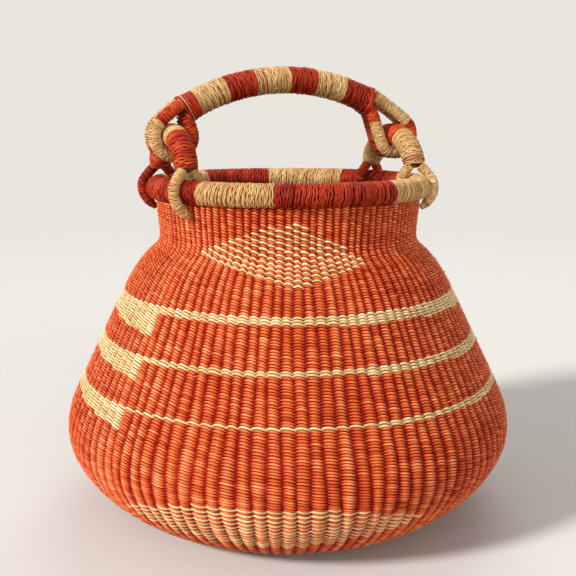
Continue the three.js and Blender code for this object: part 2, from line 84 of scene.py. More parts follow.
def length(name, text, millimetres):
    return FloatProperty(
        name=name, description=text, default=millimetres * MM, min=0.0, unit="LENGTH", precision=4
    )


def angle(name, text, degrees):
    return FloatProperty(name=name, description=text, default=math.radians(degrees), unit="ROTATION")


def straw_colour(name, text, code):
    return FloatVectorProperty(
        name=name, description=text, default=linear(code), subtype="COLOR", min=0, max=1, size=3
    )


class BasketBody(PropertyGroup):
    """Outline of the woven wall and places of the rim, ears and handle."""

    base_radius: length("Base radius", "Edge of the flat floor", 120)
    wall_thickness: length("Wall thickness", "Depth of stakes and strands together", 6)
    belly_radius: length("Belly radius", "Widest radius of the wall", 200)
    belly_height: length("Belly height", "Where the wall stands upright", 78)
    belly_corner_height: length("Belly corner", "Height that the belly turns in at", 93)
    shoulder_radius: length("Shoulder radius", "Corner between cone and neck", 136)
    shoulder_height: length("Shoulder height", "Corner between cone and neck", 224)
    neck_radius: length("Neck radius", "Narrowest radius of the wall", 114.5)
    neck_height: length("Neck height", "Narrowest place of the wall", 242)
    foot_top_height: length("Foot height", "Top of the rows that turn up from the floor", 20)
    rim_radius: length("Rim radius", "From the basket's axis to the rim's centre line", 115)
    rim_height: length("Rim height", "Centre line of the rim", 288)
    rim_core_radius: length("Rim core radius", "Ring of folded stake ends", 7.3)
    rim_wrap_thickness: length("Rim wrap", "Straw around the rim core", 2.9)
    ear_arch_radius: length("Ear arch radius", "Centre line of an ear", 45)
    ear_core_radius: length("Ear core radius", "Bundle inside an ear", 7.6)
    ear_wrap_thickness: length("Ear wrap", "Straw around the ear's bundle", 2.6)
    ear_foot_rise: length("Ear foot", "Height of an ear's end above the rim's centre line", 18)
    tie_radius: length("Tie radius", "Wrapped strand from ear to wall", 4.5)
    handle_arc_radius: length("Handle arc radius", "Centre line of the handle", 184)
    handle_top_height: length("Handle top", "Highest point of the handle", 392)
    handle_core_radius: length("Handle core radius", "Bundle inside the handle", 9)
    handle_wrap_thickness: length("Handle wrap", "Straw around the handle's bundle", 2.7)
    handle_left_reach: length("Handle left reach", "From the axis to the left end", 96)
    handle_right_reach: length("Handle right reach", "From the axis to the right end", 79)
    loop_radius: length("Loop radius", "Wrapped strand that links handle and ear", 5.5)
    clearance: length("Clearance", "Gap between neighbouring pieces", 0.3)


class WeaveSizes(PropertyGroup):
    """Stakes, rows and strands of the twining."""

    stakes: IntProperty(name="Stakes", description="Upright stakes around the wall, even", default=110)
    row_pitch: length("Row pitch", "From one twined row to the next", 2.32)
    relief: length("Relief", "How far a strand swings out and in around the stakes", 2.25)
    slant: length("Slant", "How far a float drops from left to right", 0.62)
    arch: length("Arch", "How far the middle of a float stands over its ends", 0.8)
    strand_depth: length("Strand depth", "Thickness of a twisted strand through the wall", 2.0)
    stake_share: FloatProperty(
        name="Stake share", description="Width of a stake against the spacing of stakes", default=0.92
    )
    stake_depth: length("Stake depth", "Thickness of a stake through the wall", 2.1)
    sway: length("Sway", "How far hand-woven rows stray from level", 0.5)
    loose_ends: IntProperty(name="Loose ends", description="Ends of straws that stand out", default=320)
    loose_width: length("Loose end width", "Thickness of a split straw's end", 0.55)


class PatternSizes(PropertyGroup):
    """Natural stripes, diamonds and lenses in the wall."""

    azimuth: angle("Pattern azimuth", "Middle of the front diamond, from -Y towards +X", -28)
    cut_azimuth: angle("Stripe cut", "Where the short rows of the stripes all end", -66)
    stripe_low: length("Low stripe", "Top edge of the low stripe", 126)
    stripe_low_width: length("Low stripe width", "Width at the cut", 18)
    stripe_low_thin: length("Low stripe, thin", "Width where the short rows have ended", 2.4)
    stripe_middle: length("Middle stripe", "Top edge of the middle stripe", 162.5)
    stripe_middle_width: length("Middle stripe width", "Width at the cut", 20.5)
    stripe_middle_thin: length("Middle stripe, thin", "Width where the short rows have ended", 4.6)
    stripe_high: length("High stripe", "Top edge of the high stripe", 200.5)
    stripe_high_width: length("High stripe width", "Width at the cut", 26)
    stripe_high_thin: length("High stripe, thin", "Width where the short rows have ended", 7)
    diamond_height: length("Diamond height", "Height of the diamonds' middle", 240)
    diamond_rise: length("Diamond rise", "From the tips' level to the top, along the wall", 28.5)
    diamond_drop: length("Diamond drop", "From the tips' level to the bottom, along the wall", 24.5)
    diamond_tilt: length("Diamond tilt", "How far the right tip lies under the middle", 3.5)
    diamond_shift: angle("Diamond shift", "From the pattern azimuth to the middle", 1.5)
    diamond_half_angle: angle("Diamond half angle", "From the middle to a tip", 36)
    lens_height: length("Lens height", "Height of the lenses' tips", 44)
    lens_rise: length("Lens rise", "From the tips' level to the top, along the wall", 29)
    lens_drop: length("Lens drop", "From the tips' level to the bottom, along the wall", 23)
    lens_half_angle: angle("Lens half angle", "From the middle to a tip", 40)


class WrapStraw(PropertyGroup):
    """Straw that is wound around the rim, the ears and the handle."""

    width: length("Straw width", "Width of one turn on the rim, ears and handle", 1.6)
    thickness: length("Straw thickness", "Thickness of one turn", 1.15)
    thin_width: length("Thin straw width", "Width of a turn on ties and loops", 1.25)
    thin_thickness: length("Thin straw thickness", "Thickness of a turn on ties and loops", 0.9)
    lean: length("Lean", "How far a turn travels along its bundle", 7)
    stalk: length("Stalk", "Thickness of a stalk in the bundles", 3)


class StrawColours(PropertyGroup):
    """Dyed and natural grass, each from its deepest to its lightest strands; painted shade in the weave and
    wraps runs towards the deep colours, painted light on the crests towards the light ones.
    """

    orange_deep: straw_colour("Orange, deep", "Darkest dyed strands", "#900A00")
    orange: straw_colour("Orange", "Most dyed strands", "#E66024")
    orange_light: straw_colour("Orange, light", "Palest dyed strands", "#FFB880")
    red_deep: straw_colour("Red, deep", "Darkest red strands", "#740400")
    red: straw_colour("Red", "Most red strands", "#CA3E0C")
    red_light: straw_colour("Red, light", "Palest red strands", "#EE743E")
    natural_deep: straw_colour("Natural, deep", "Darkest undyed strands", "#B87C3C")
    natural: straw_colour("Natural", "Most undyed strands", "#ECCB90")
    natural_light: straw_colour("Natural, light", "Palest undyed strands", "#FFEBC8")
    bundle_deep: straw_colour("Bundle, deep", "Darkest stalks inside", "#7A5C30")
    bundle: straw_colour("Bundle", "Most stalks inside", "#A98A55")
    bundle_light: straw_colour("Bundle, light", "Palest stalks inside", "#C4A872")


class StudioSizes(PropertyGroup):
    """Camera, lamps and floor."""

    camera_distance: length("Camera distance", "From the basket's axis", 800)
    camera_height: length("Camera height", "Above the floor", 344.8)
    camera_azimuth: angle("Camera azimuth", "From -Y towards +X", -23)
    camera_pitch: angle("Camera pitch", "Below the horizon", 10.6)
    lens: FloatProperty(name="Lens", description="Focal length on a 36 mm frame", default=55.67)
    floor_radius: length("Floor radius", "Round studio floor", 4000)
    floor: straw_colour("Floor colour", "Pale floor and background", "#E9E5DF")


def settings(name):
    return getattr(bpy.context.scene, name)


# Sections and lines

# Shares that shape the wall's outline between its named corners
UNDER_ROUND = 0.375
UNDER_RISE = 0.54
BELLY_TURN = 0.13
CONE_END = 0.8
SHOULDER_TURN = 0.6
NECK_START = 0.7
NECK_TURN = 0.2
# Steps on the outline's curves, and stations from the base to the rim
ROUND_STEPS = 120
CURVE_STEPS = 60
JOIN_STEPS = 8
TOP_STEPS = 40
WALL_STATIONS = 661
# Steps on arcs, and from one knot of a spline to the next
ARC_STEPS_PER_RADIAN = 60
LEAST_ARC_STEPS = 12
KNOT_STEPS = 13


def bezier(corners, steps):
    """Points on a Bezier curve of any degree, the first one left out."""
    degree = len(corners) - 1
    share = np.linspace(0, 1, steps + 1)[1:, None]
    total = np.zeros((steps, len(corners[0])))
    for i, corner in enumerate(corners):
        weight = math.comb(degree, i) * share**i * (1 - share) ** (degree - i)
        total += weight * np.array(corner, float)
    return total


def turned(azimuth, radius, height):
    """Places around the basket: azimuth in radians from -Y towards +X."""
    return np.stack([radius * np.sin(azimuth), -radius * np.cos(azimuth), height + 0 * azimuth], -1)


class Wall:
    """The wall's outline, measured along its outer face."""

    def __init__(self):
        body = settings("basket_body")
        base = np.array([body.base_radius, 0])
        belly = np.array([body.belly_radius, body.belly_corner_height])
        shoulder = np.array([body.shoulder_radius, body.shoulder_height])
        neck = np.array([body.neck_radius, body.neck_height])
        top = np.array(
            [
                body.rim_radius + body.wall_thickness / 2,
                body.rim_height - body.rim_core_radius - body.clearance,
            ]
        )
        round_out = [
            base,
            base + [UNDER_ROUND * (body.belly_radius - body.base_radius), 0],
            [body.belly_radius, UNDER_RISE * body.belly_height],
            [body.belly_radius, body.belly_height],
        ]
        cone = belly + BELLY_TURN * (shoulder - belly)
        cone_end = belly + CONE_END * (shoulder - belly)
        shoulder_end = shoulder + SHOULDER_TURN * (neck - shoulder)
        neck_start = shoulder + NECK_START * (neck - shoulder)
        neck_end = neck + NECK_TURN * (top - neck)
        points = np.concatenate(
            [
                [base],
                bezier(round_out, ROUND_STEPS),
                bezier([round_out[-1], belly, cone], CURVE_STEPS),
                bezier([cone, cone_end], CURVE_STEPS),
                bezier([cone_end, shoulder, shoulder_end], CURVE_STEPS),
                bezier([shoulder_end, neck_start], JOIN_STEPS),
                bezier([neck_start, neck, neck_end], CURVE_STEPS),
                bezier([neck_end, top], TOP_STEPS),
            ]
        )
        steps = np.hypot(*np.diff(points, axis=0).T)
        at = np.concatenate([[0], np.cumsum(steps)])
        self.length = at[-1]
        self.along = np.linspace(0, self.length, WALL_STATIONS)
        self.radius = np.interp(self.along, at, points[:, 0])
        self.height = np.interp(self.along, at, points[:, 1])
        slope = np.hypot(np.gradient(self.radius), np.gradient(self.height))
        self.out = np.gradient(self.radius) / slope
        self.up = np.gradient(self.height) / slope

    def place(self, along, depth, azimuth):
        """Points so far along the outline and so deep under the outer face."""
        radius = np.interp(along, self.along, self.radius)
        height = np.interp(along, self.along, self.height)
        out = np.interp(along, self.along, self.out)
        up = np.interp(along, self.along, self.up)
        return turned(azimuth, radius - up * depth, height + out * depth)

    def along_at(self, height):
        return float(np.interp(height, self.height, self.along))

    def radius_at(self, height, depth):
        along = self.along_at(height)
        radius = np.interp(along, self.along, self.radius)
        return float(radius - np.interp(along, self.along, self.up) * depth)


class Line:
    """A smooth centre line with two section directions that stay near a given side."""

    def __init__(self, points, side):
        points = np.array(points, float)
        steps = np.linalg.norm(np.diff(points, axis=0), axis=1)
        self.at = np.concatenate([[0], np.cumsum(steps)])
        self.length = self.at[-1]
        tangent = np.gradient(points, self.at, axis=0)
        tangent /= np.linalg.norm(tangent, axis=1)[:, None]
        normal = np.cross(tangent, np.array(side, float))
        normal /= np.linalg.norm(normal, axis=1)[:, None]
        across = np.cross(normal, tangent)
        self.table = np.concatenate([points, tangent, normal, across], axis=1)

    def frames(self, along):
        """Point, tangent, normal and across at each distance along the line."""
        rows = [np.interp(along, self.at, column) for column in self.table.T]
        return [np.stack(rows[i:i + 3], -1) for i in (0, 3, 6, 9)]

    def around(self, along, turn):
        """Point and tangent, and the directions outward and aside at an angle round the line."""
        point, tangent, normal, across = self.frames(along)
        cos, sin = np.cos(turn)[:, None], np.sin(turn)[:, None]
        return point, tangent, normal * cos + across * sin, across * cos - normal * sin


def arc_line(centre, right, radius, start, end, side):
    """A line along an arc that stands upright over its centre."""
    steps = max(int(abs(end - start) * ARC_STEPS_PER_RADIAN), LEAST_ARC_STEPS)
    turn = np.linspace(start, end, steps)[:, None]
    points = np.array(centre) + radius * (np.sin(turn) * np.array(right) + np.cos(turn) * [0, 0, 1])
    return Line(points, side)


def smooth_line(knots, side):
    """A centripetal spline through the given knots."""
    knots = np.array(knots, float)
    ends = [2 * knots[0] - knots[1], *knots, 2 * knots[-1] - knots[-2]]
    points = [knots[0]]
    for p0, p1, p2, p3 in zip(ends, ends[1:], ends[2:], ends[3:]):
        gaps = [math.sqrt(np.linalg.norm(b - a)) for a, b in ((p0, p1), (p1, p2), (p2, p3))]
        t1, t2, t3 = np.cumsum(gaps)
        for t in np.linspace(t1, t2, KNOT_STEPS)[1:]:
            a1 = (t1 - t) / t1 * p0 + t / t1 * p1
            a2 = (t2 - t) / gaps[1] * p1 + (t - t1) / gaps[1] * p2
            a3 = (t3 - t) / gaps[2] * p2 + (t - t2) / gaps[2] * p3
            b1 = (t2 - t) / t2 * a1 + t / t2 * a2
            b2 = (t3 - t) / (t3 - t1) * a2 + (t - t1) / (t3 - t1) * a3
            points.append((t2 - t) / gaps[1] * b1 + (t - t1) / gaps[1] * b2)
    return Line(points, side)


# Strands

# Length in which a strand turns once
TWIST_LENGTH = 16 * MM
# Shades run from 0, the deepest, to 1, the lightest; one straw differs from the next by the spread
MIDDLE_SHADE = 0.5
STRAW_SPREAD = 0.06


class Strands:
    """Gathers strands of one kind of straw into one mesh."""

    def __init__(self):
        self.points = []
        self.quads = []
        self.caps = []
        self.shades = []
        self.lays = []
        self.count = 0

    def add(self, rings, closed, shade, lay):
        """A tube through rings of points; shade is per point, lay is along and across the straw."""
        stations, sides = rings.shape[:2]
        index = self.count + np.arange(stations * sides).reshape(stations, sides)
        here = index if closed else index[:-1]
        there = np.roll(index, -1, axis=0) if closed else index[1:]
        quads = np.stack([here, np.roll(here, -1, 1), np.roll(there, -1, 1), there], -1)
        self.quads.append(quads.reshape(-1, 4))
        if not closed:
            self.caps += [index[0][::-1], index[-1]]
        self.points.append(rings.reshape(-1, 3))
        self.shades.append(np.broadcast_to(shade, (stations, sides)).ravel())
        self.lays.append(lay.reshape(-1, 3))
        self.count += stations * sides

    def add_straw(self, centre, first, second, wide, thick, run, shade):
        """A straw along centre points, with its section's offsets in two directions."""
        rings = centre[:, None] + first[:, None] * wide[..., None] + second[:, None] * thick[..., None]
        lay = np.stack(np.broadcast_arrays(run[:, None], wide, thick), -1)
        self.add(rings, False, shade, lay)

    def mesh(self, name):
        points = np.concatenate(self.points)
        quads = np.concatenate(self.quads)
        if signed_volume(points, quads) < 0:
            quads = quads[:, ::-1]
            self.caps = [cap[::-1] for cap in self.caps]
        corners = np.concatenate([quads.ravel(), *self.caps]) if self.caps else quads.ravel()
        starts = np.arange(len(quads)) * 4
        if self.caps:
            sizes = np.array([len(cap) for cap in self.caps])
            starts = np.concatenate([starts, quads.size + np.concatenate([[0], np.cumsum(sizes)[:-1]])])
        mesh = bpy.data.meshes.new(name)
        mesh.vertices.add(len(points))
        mesh.vertices.foreach_set("co", points.astype(np.float32).ravel())
        mesh.loops.add(len(corners))
        mesh.loops.foreach_set("vertex_index", corners.astype(np.int32))
        mesh.polygons.add(len(starts))
        mesh.polygons.foreach_set("loop_start", starts.astype(np.int32))
        shade = mesh.attributes.new("shade", "FLOAT", "POINT")
        shade.data.foreach_set("value", np.concatenate(self.shades).astype(np.float32))
        lay = mesh.attributes.new("lay", "FLOAT_VECTOR", "POINT")
        lay.data.foreach_set("vector", np.concatenate(self.lays).astype(np.float32).ravel())
        mesh.update(calc_edges=True)
        mesh.shade_smooth()
        return mesh


def signed_volume(points, quads):
    a, b, c, d = (points[quads[:, i]] for i in range(4))
    return float(np.einsum("ij,ij->", a, np.cross(b, c)) + np.einsum("ij,ij->", a, np.cross(c, d)))


def show(name, strands, body, straw, nodes=()):
    """Adds the strands to the scene as a piece that rides on a body of the frame."""
    piece = bpy.data.objects.new(name, strands.mesh(name))
    bpy.context.scene.collection.objects.link(piece)
    piece.data.materials.append(straw_material(straw))
    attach(piece, body)
    if nodes:
        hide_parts(*nodes)


def section(sides):
    """Cosine and sine of the corners of a strand's section."""
    turn = np.arange(sides) * 2 * math.pi / sides
    return np.cos(turn), np.sin(turn)


def spun(along, wide, thick):
    """Places across a strand, turned along it, so that its fibres run round it."""
    twist = along * 2 * math.pi / TWIST_LENGTH
    return wide * np.cos(twist) - thick * np.sin(twist), wide * np.sin(twist) + thick * np.cos(twist)


def straw_shades(random, count, run, spread):
    """Shades from 0 to 1 along a strand: each straw is a little different and lasts some turns."""
    straws = random.normal(MIDDLE_SHADE, STRAW_SPREAD, count // run + 2)
    joins = np.sort(random.integers(0, count + 1, len(straws) - 1))
    base = straws[np.searchsorted(joins, np.arange(count), side="right")]
    return np.clip(base + random.normal(0, spread, count), 0, 1)


# Weaving

# Stations of a float, in stakes from its middle: it starts behind one stake and ends behind the next
FLOAT_STEPS = np.array([-1.0, -0.75, -0.5, -0.3, -0.1, 0.1, 0.3, 0.5, 0.75])
FLOOR_STEPS = np.array([-1.0, -0.6, -0.3, 0.0, 0.3, 0.6])
STRAND_SIDES = 6
FLOOR_SIDES = 4
STAKE_SIDES = 6
STAKE_STATIONS = 60
WALL_SEED = 7
FLOOR_SEED = 20
ROWS_IN_PIECE = 15
# Straws of these names aren't dyed
NATURAL_KINDS = ("stripe", "lens", "diamond")

# Height of a strand against the row pitch
ROW_FILL = 0.9
# A strand narrows between the stakes and spreads behind them, and its depth follows a little
NARROWING = 0.1
NARROWING_POWER = 0.6
SPREADING = 0.3
DEPTH_FOLLOWS = 0.15
# The ribs lose relief where the stakes stand closer
RELIEF_LOSS = 0.45
# How far one float differs from the next
BULGE_SPREAD = 0.09
SHIFT_SPREAD = 0.1 * MM
SLIP_SPREAD = 0.12 * MM
# Length of straw from one stake to the next, for its fibres
STRAW_PER_STAKE = 8 * MM

# Slow waves: how many go round, how fast they change along the wall, and their size. Rows sway up and
# down, and stakes lean aside by shares of their spacing.
SWAY_WAVES = ((3, 31, 1.0), (5, -47, 0.7), (11, 83, 0.5))
SWAY_SHARE = 0.3
LEAN_WAVES = ((7, 30, 1.0), (17, -40, 0.8), (41, 60, 0.8))
LEAN_SHARE = 0.07

STRIPE_POWER = 2.5
LENS_POWER = 2
DIAMOND_POWER = 1
# The diamond's peak stands off its middle by this share of half its width
DIAMOND_PEAK = 1 / 6

# Floats from one straw, about, and how far their shades differ
FLOATS_PER_STRAW = 16
FLOAT_SHADE_SPREAD = 0.07
# Painted light and shade: floats are painted lighter on their crests over the stakes, darker where they sink
# between and behind the stakes, and darker along their top and bottom edges, where the rows touch
CREST_PAINTED_LIGHT = 0.16
DYED_DIP_PAINTED_SHADE = 0.65
NATURAL_DIP_PAINTED_SHADE = 0.25
DIP_POWER = 1.4
FLOAT_EDGE_PAINTED_SHADE = 0.45
# Stakes are painted in the deepest shades, as painted shade where they show between the floats
STAKE_PAINTED_SHADES = (0.0, 0.2)

# Loose ends start near the middle of a float, in the rows above the lowest six; heights are in mm
FIRST_LOOSE_ROW = 6
LOOSE_STATIONS = 6
LOOSE_START = 0.3
LOOSE_REACH = (0.2, 0.45)
LOOSE_RISE = 0.3
LOOSE_CURL = 2
LOOSE_STAND = (1.4, 2.4)
LOOSE_BEND = 1.9
LOOSE_SIZE = 1.1
LOOSE_THINNING = 0.5
LOOSE_SHADES = (0.75, 1.0)

# How much higher the strands of the floor lie than its middle plane
FLOOR_LIFT = 1.0 * MM
# The floor has fewer stakes further in; the zones are shares of its radius
FLOOR_ZONES = ((0.5, 1.0), (0.25, 0.5), (0.11, 0.25), (0.0, 0.11))
INNER_STAKES = (60, 30, 14)


def stripe_rows(azimuth, thin_rows, full_rows):
    """How many rows a stripe has here; short rows add up over each half turn and end at the cut."""
    pattern = settings("basket_pattern")
    share = ((azimuth - pattern.cut_azimuth) % math.pi) / math.pi
    rows = thin_rows + (full_rows - thin_rows) * share**STRIPE_POWER
    return np.maximum(np.round(rows), thin_rows)


def in_patch(along, azimuth, centre, middle, rise, drop, half_angle, power, least, tilt=0, peak=0):
    """Whether a float lies in the front or the back patch, which has at least one row at its tips."""
    aside = ((azimuth - centre + math.pi / 2) % math.pi - math.pi / 2) / half_angle
    flank = np.where(aside < peak, 1 + peak, 1 - peak)
    swell = 1 - (np.abs(aside - peak) / flank) ** power
    above = along - middle + tilt * aside
    return (np.abs(aside) < 1) & (above < rise * swell + least) & (above > -drop * swell - least)


def runs(kinds):
    """Unbroken runs of one kind around a closed row, as kind, first float and count."""
    total = len(kinds)
    breaks = [i for i in range(total) if kinds[i] != kinds[i - 1]]
    if not breaks:
        return [(kinds[0], 0, total)]
    return [(kinds[i], i, j - i) for i, j in zip(breaks, breaks[1:] + [breaks[0] + total])]


class Twining:
    """Rows of two strands that cross between the stakes, on a wall or a floor."""

    def __init__(self, stakes, steps, sides, seed):
        weave = settings("basket_weave")
        self.stakes = stakes
        self.steps = steps
        self.cos, self.sin = section(sides)
        self.random = np.random.default_rng(seed)
        self.relief = weave.relief
        self.slant = weave.slant
        self.half_depth = weave.strand_depth / 2
        self.half_height = weave.row_pitch / 2 * ROW_FILL
        self.arch = weave.arch

    def strand(self, first, count):
        """Stake numbers along a run, and the offsets through the wall, along it and of the section."""
        closed = count * 2 == self.stakes
        middles = (first + 2 * np.arange(count))[:, None]
        place = (middles + self.steps).ravel()
        floats = np.repeat(np.arange(count), len(self.steps))
        if not closed:
            place = np.append(place, middles[-1] + 1.0)
            floats = np.append(floats, count - 1)
        phase = math.pi * (place - first)
        swing = np.cos(phase)
        squeeze = 1 - NARROWING + NARROWING * np.abs(swing) ** NARROWING_POWER
        squeeze = squeeze + SPREADING * np.clip(-swing, 0, 1)
        return closed, place, floats, swing, np.sin(phase), squeeze

    def row(self, kinds_at, place_at, gather):
        """Twines one row: kinds_at gives each stake's straw, and place_at puts points in space."""
        for parity in (0, 1):
            stakes = np.arange(parity, self.stakes, 2)
            kinds = kinds_at(stakes, parity)
            shades = straw_shades(self.random, len(stakes), FLOATS_PER_STRAW, FLOAT_SHADE_SPREAD)
            bulge = 1 + self.random.normal(0, BULGE_SPREAD, len(stakes))
            shift = self.random.normal(0, SHIFT_SPREAD, len(stakes))
            slip = self.random.normal(0, SLIP_SPREAD, len(stakes))
            for kind, start, count in runs(kinds):
                closed, place, floats, swing, rise, squeeze = self.strand(parity + 2 * start, count)
                pick = (start + floats) % len(stakes)
                depth = -self.relief * swing + shift[pick]
                height = slip[pick] - self.slant * rise + self.arch * (swing - 0.5)
                thick = self.half_depth * (1 - DEPTH_FOLLOWS + DEPTH_FOLLOWS * squeeze) * bulge[pick]
                tall = self.half_height * squeeze
                depths = depth[:, None] - thick[:, None] * self.cos
                heights = height[:, None] + tall[:, None] * self.sin
                rings = place_at(place[:, None], heights, depths)
                along = np.broadcast_to((place * STRAW_PER_STAKE)[:, None], heights.shape)
                across = spun(along, thick[:, None] * self.cos, tall[:, None] * self.sin)
                lay = np.stack([along, *across], -1)
                # Painted light and shade: lighter on the crest, darker where the float sinks between the
                # stakes and along its top and bottom edges
                dip_painted_shade = NATURAL_DIP_PAINTED_SHADE if kind.startswith(NATURAL_KINDS) else DYED_DIP_PAINTED_SHADE
                painted_dip = dip_painted_shade * np.clip(1 - swing, 0, 1) ** DIP_POWER
                edge = FLOAT_EDGE_PAINTED_SHADE * (1 - np.abs(self.cos))
                shade = (shades[pick] + CREST_PAINTED_LIGHT - painted_dip)[:, None] - edge
                gather(kind).add(rings, closed, shade, lay)

    def loose_end(self, stake, width, place_at, strands):
        """A straw's end that comes out between two floats and curls away, thinner to its tip."""
        share = np.linspace(0, 1, LOOSE_STATIONS)
        hand = self.random.choice([-1, 1])
        start = stake + self.random.uniform(-LOOSE_START, LOOSE_START)
        place = start + hand * self.random.uniform(*LOOSE_REACH) * share
        rise = self.random.uniform(-LOOSE_RISE, LOOSE_RISE) * MM
        height = rise + self.random.uniform(-LOOSE_CURL, LOOSE_CURL) * MM * share**2
        stand = self.relief * 0.5 + self.random.uniform(*LOOSE_STAND) * MM
        depth = -self.relief * 0.5 - stand * np.sin(LOOSE_BEND * share)
        size = width / 2 * (LOOSE_SIZE - LOOSE_THINNING * share)[:, None]
        rings = place_at(
            place[:, None], height[:, None] + size * self.sin, depth[:, None] - size * self.cos
        )
        along = np.broadcast_to((place * STRAW_PER_STAKE)[:, None], rings.shape[:2])
        lay = np.stack([along, size * self.cos, size * self.sin], -1)
        strands.add(rings, False, self.random.uniform(*LOOSE_SHADES), lay)


def waves(turn, along, parts, phases):
    """Slow waves round the wall that change along it."""
    return sum(
        size * np.sin(times * turn + along * change + phase)
        for (times, change, size), phase in zip(parts, phases)
    )


class BASKET_OT_weave_wall(Operator):
    """Twines the wall row by row, with its stripes, diamonds and lenses"""

    bl_idname = "basket.weave_wall"
    bl_label = "Weave wall"

    def execute(self, context):
        body = settings("basket_body")
        weave = settings("basket_weave")
        pattern = settings("basket_pattern")
        wall = Wall()
        row_count = round(wall.length / weave.row_pitch)
        pitch = wall.length / row_count
        twining = Twining(weave.stakes, FLOAT_STEPS, STRAND_SIDES, WALL_SEED)
        tops = [wall.along_at(getattr(pattern, name)) // pitch for name in STRIPES]
        widths = [getattr(pattern, name + "_width") / pitch for name in STRIPES]
        thin = [round(getattr(pattern, name + "_thin") / pitch) for name in STRIPES]
        foot_rows = wall.along_at(body.foot_top_height) // pitch
        collar_row = wall.along_at(body.neck_height) // pitch
        lens = wall.along_at(pattern.lens_height)
        diamond = wall.along_at(pattern.diamond_height)
        phases = twining.random.uniform(0, 2 * math.pi, len(SWAY_WAVES + LEAN_WAVES))
        loose_rows = twining.random.integers(FIRST_LOOSE_ROW, row_count, weave.loose_ends)
        pieces = {}
        rows_in = {}

        def sway(stake, along):
            turn = stake * 2 * math.pi / weave.stakes
            return weave.sway * SWAY_SHARE * waves(turn, along, SWAY_WAVES, phases)

        def lean(stake, along):
            turn = stake * 2 * math.pi / weave.stakes
            return LEAN_SHARE * waves(turn, along, LEAN_WAVES, phases[len(SWAY_WAVES):])

        for row in range(row_count):
            along_row = (row + 0.5) * pitch
            band = sum(row > top for top in tops)
            if row <= foot_rows:
                wall_node = "wall_foot"
            elif row > collar_row:
                wall_node = "wall_collar"
            else:
                wall_node = BANDS[band]
            rows_in[wall_node] = rows_in.get(wall_node, 0) + 1
            wall_piece = f"{wall_node}_{(rows_in[wall_node] - 1) // ROWS_IN_PIECE + 1}"

            def kinds_at(stakes, parity):
                azimuth = stakes * 2 * math.pi / weave.stakes
                kinds = np.full(len(stakes), wall_piece, dtype=object)
                if band < len(STRIPES):
                    rows = stripe_rows(azimuth, thin[band], widths[band])
                    kinds[tops[band] - row < rows] = STRIPES[band]
                front = np.cos(azimuth - pattern.azimuth) > 0
                side = np.where(front, "front", "back")
                in_lens = in_patch(
                    along_row, azimuth, pattern.azimuth, lens, pattern.lens_rise, pattern.lens_drop,
                    pattern.lens_half_angle, power=LENS_POWER, least=0,
                )
                if row % 2 == 0:
                    kinds[in_lens] = ["lens_" + name for name in side[in_lens]]
                in_diamond = in_patch(
                    along_row, azimuth, pattern.azimuth + pattern.diamond_shift, diamond,
                    pattern.diamond_rise, pattern.diamond_drop, pattern.diamond_half_angle,
                    power=DIAMOND_POWER, least=pitch / 2,
                    tilt=pattern.diamond_tilt, peak=DIAMOND_PEAK,
                )
                if (row + parity) % 2 == 0:
                    kinds[in_diamond] = ["diamond_" + name for name in side[in_diamond]]
                return list(kinds)

            spacing = np.interp(along_row, wall.along, wall.radius) / body.belly_radius
            relief = 1 - RELIEF_LOSS + RELIEF_LOSS * spacing

            def place_at(stake, heights, depths):
                along = along_row + heights + sway(stake, along_row)
                turn = (stake + lean(stake, along_row)) * 2 * math.pi / weave.stakes
                return wall.place(along, body.wall_thickness / 2 + relief * depths, turn)

            def gather(kind):
                return pieces.setdefault(kind, Strands())

            twining.row(kinds_at, place_at, gather)
            for _ in range(int(np.sum(loose_rows == row))):
                stake = int(twining.random.integers(0, weave.stakes))
                strands = gather(kinds_at(np.array([stake]), stake % 2)[0])
                twining.loose_end(stake, weave.loose_width, place_at, strands)

        for name, strands in sorted(pieces.items()):
            natural = name.startswith(NATURAL_KINDS)
            node = name if natural else name.rsplit("_", 1)[0]
            show(name, strands, "basket", "natural" if natural else "orange", [node])

        stakes = Strands()
        cos, sin = section(STAKE_SIDES)
        along = np.linspace(0, wall.length, STAKE_STATIONS)[:, None]
        for stake in range(weave.stakes):
            turn = (stake + lean(stake, along)) * 2 * math.pi / weave.stakes
            turn = turn + weave.stake_share * math.pi / weave.stakes * sin
            depth = body.wall_thickness / 2 - weave.stake_depth / 2 * cos
            rings = wall.place(along + 0 * turn, depth + 0 * turn, turn)
            aside = np.interp(along, wall.along, wall.radius) * turn
            lay = np.stack([along + 0 * turn, depth + 0 * turn, aside], -1)
            # Painted shade: each stake takes one of the deepest shades
            stakes.add(rings, False, twining.random.uniform(*STAKE_PAINTED_SHADES), lay)
        show("stakes", stakes, "basket", "orange")
        return {"FINISHED"}


class BASKET_OT_weave_floor(Operator):
    """Twines the round floor out from its centre"""

    bl_idname = "basket.weave_floor"
    bl_label = "Weave floor"

    def execute(self, context):
        body = settings("basket_body")
        weave = settings("basket_weave")
        edge = body.base_radius - body.clearance
        level = body.wall_thickness / 2 + FLOOR_LIFT
        row_count = round(edge / weave.row_pitch)
        pitch = edge / row_count
        pieces = {"floor_outer": Strands(), "floor_inner": Strands()}
        stake_counts = (weave.stakes, *INNER_STAKES)
        for number, (stakes, (start, end)) in enumerate(zip(stake_counts, FLOOR_ZONES)):
            name = "floor_inner" if number else "floor_outer"
            twining = Twining(stakes, FLOOR_STEPS, FLOOR_SIDES, FLOOR_SEED + number)
            for row in range(round(start * row_count), round(end * row_count)):
                radius = (row + 0.5) * pitch

                def kinds_at(places, parity, name=name):
                    return [name] * len(places)

                def place_at(stake, heights, depths, radius=radius, stakes=stakes):
                    turn = stake * 2 * math.pi / stakes
                    return turned(turn + 0 * heights, radius + heights, level + depths)

                twining.row(kinds_at, place_at, pieces.get)
        for name, strands in pieces.items():
            show(name, strands, "basket", "orange", ["floor"])
        return {"FINISHED"}


# Wrapping

